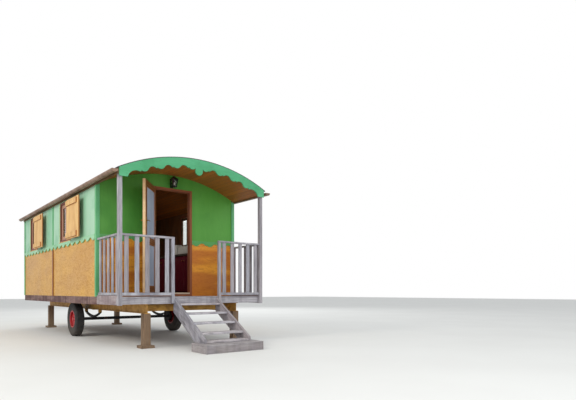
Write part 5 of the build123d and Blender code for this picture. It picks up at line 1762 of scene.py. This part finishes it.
@dataclass(frozen=True)
class Daylight:
    """A pale floor, large soft lamps and a white background that only the camera sees.

    A lamp is its name, its place, the point it is turned to, its size, its power and its tint.
    """

    strength: float = 0.78
    sky: tuple = (0.92, 0.96, 1.0, 1.0)
    white: tuple = (1.0, 1.0, 1.0, 1.0)
    floor_reach: float = 60.0
    lamps: tuple = (
        ("sun_side", (-12.0, -3.5, 9.0), (0.0, -1.0, 1.4), 4.0, 735.0, (1.0, 0.95, 0.86)),
        ("fill_front", (-3.0, -14.5, 5.8), (0.0, -2.0, 1.2), 9.0, 600.0, (0.96, 0.98, 1.0)),
        ("fill_rear", (9.0, 12.0, 9.0), (0.0, 1.0, 1.0), 9.0, 620.0, (0.96, 0.98, 1.0)),
        ("cabin_fill", (-0.3, -0.6, 2.85), (0.4, -0.6, 0.9), 0.9, 7.0, (1.0, 0.93, 0.84)))

    def floor(self) -> None:
        """Lay a wide plain floor with a faint cloudy tone."""
        corners = np.array([[-1, -1, 0], [1, -1, 0], [1, 1, 0], [-1, 1, 0]]) * self.floor_reach
        made = mesh_piece("studio_floor", corners, np.arange(4), smooth=False)
        coat = Coat("studio_floor_matte")
        clouds = coat.noise(coat.place, 0.6)
        base = coat.layers((226, 225, 221), (clouds, (0.3, 0.7, 0.0, 0.25), (214, 212, 208)))
        coat.surface(base, (None, 0.9))
        made.data.materials.append(coat.material)

    def world(self) -> None:
        """Soft grey light all round, and white where the camera, glass or metal looks past the object."""
        world = bpy.data.worlds.new("studio_world")
        bpy.context.scene.world = world
        world.use_nodes = True
        book = Book(world.node_tree)
        book.tree.nodes.clear()
        path = book.node("LightPath").outputs
        seen = book.calc("MAXIMUM", path["Is Camera Ray"], path["Is Transmission Ray"])
        seen = book.calc("MAXIMUM", seen, path["Is Glossy Ray"])
        soft = book.node("Background", self.sky, self.strength).outputs[0]
        plain = book.node("Background", self.white, 1.0).outputs[0]
        book.node("OutputWorld", book.node("MixShader", seen, soft, plain).outputs[0])

    def build(self) -> None:
        """Set the floor, the world, the square area lamps and the plain view."""
        bpy.context.scene.view_settings.view_transform = "Standard"
        self.floor()
        self.world()
        for name, place, aim, size, power, tint in self.lamps:
            data = bpy.data.lights.new(name, "AREA")
            data.size, data.energy, data.color = size, power, tint
            made = bpy.data.objects.new(name, data)
            bpy.context.scene.collection.objects.link(made)
            made.location = place
            made.rotation_euler = (Vector(aim) - Vector(place)).to_track_quat("-Z", "Y").to_euler()
        LOG.info("studio: floor, world and %d lamps", len(self.lamps))


@dataclass(frozen=True)
class PhotoCamera:
    """Camera that stands where the photographer stood."""

    place: tuple = (-4.1575, -10.8081, 0.9334)
    heading: float = -39.577
    lens: float = 30.155
    horizon_row: float = 291.8
    sensor: float = 36.0
    far: float = 200.0

    def build(self) -> None:
        """Level camera with the horizon moved by the lens shift."""
        width, height = PHOTO_SIZE
        data = bpy.data.cameras.new("photo_camera")
        data.sensor_fit, data.sensor_width, data.lens = "HORIZONTAL", self.sensor, self.lens
        data.shift_y = (self.horizon_row - height / 2) / width
        data.clip_end = self.far
        made = bpy.data.objects.new("photo_camera", data)
        bpy.context.scene.collection.objects.link(made)
        made.location = self.place
        made.rotation_euler = (math.radians(90.0), 0.0, math.radians(self.heading))
        bpy.context.scene.camera = made
        LOG.info("camera at %s, lens %.2f mm", self.place, self.lens)


def main() -> None:
    """Build every part in order, then set the studio and the camera."""
    logging.basicConfig(level=logging.INFO, format="%(name)s: %(message)s")
    parts = (Roof(), Cabin(), Windows(), Porch(), PorchLamp(), Doorway(), Shutters(), RunningGear(),
             Kitchen(), Daylight(), PhotoCamera())
    for part in parts:
        LOG.info("part %s", type(part).__name__)
        part.build()


if __name__ == "__main__":
    main()
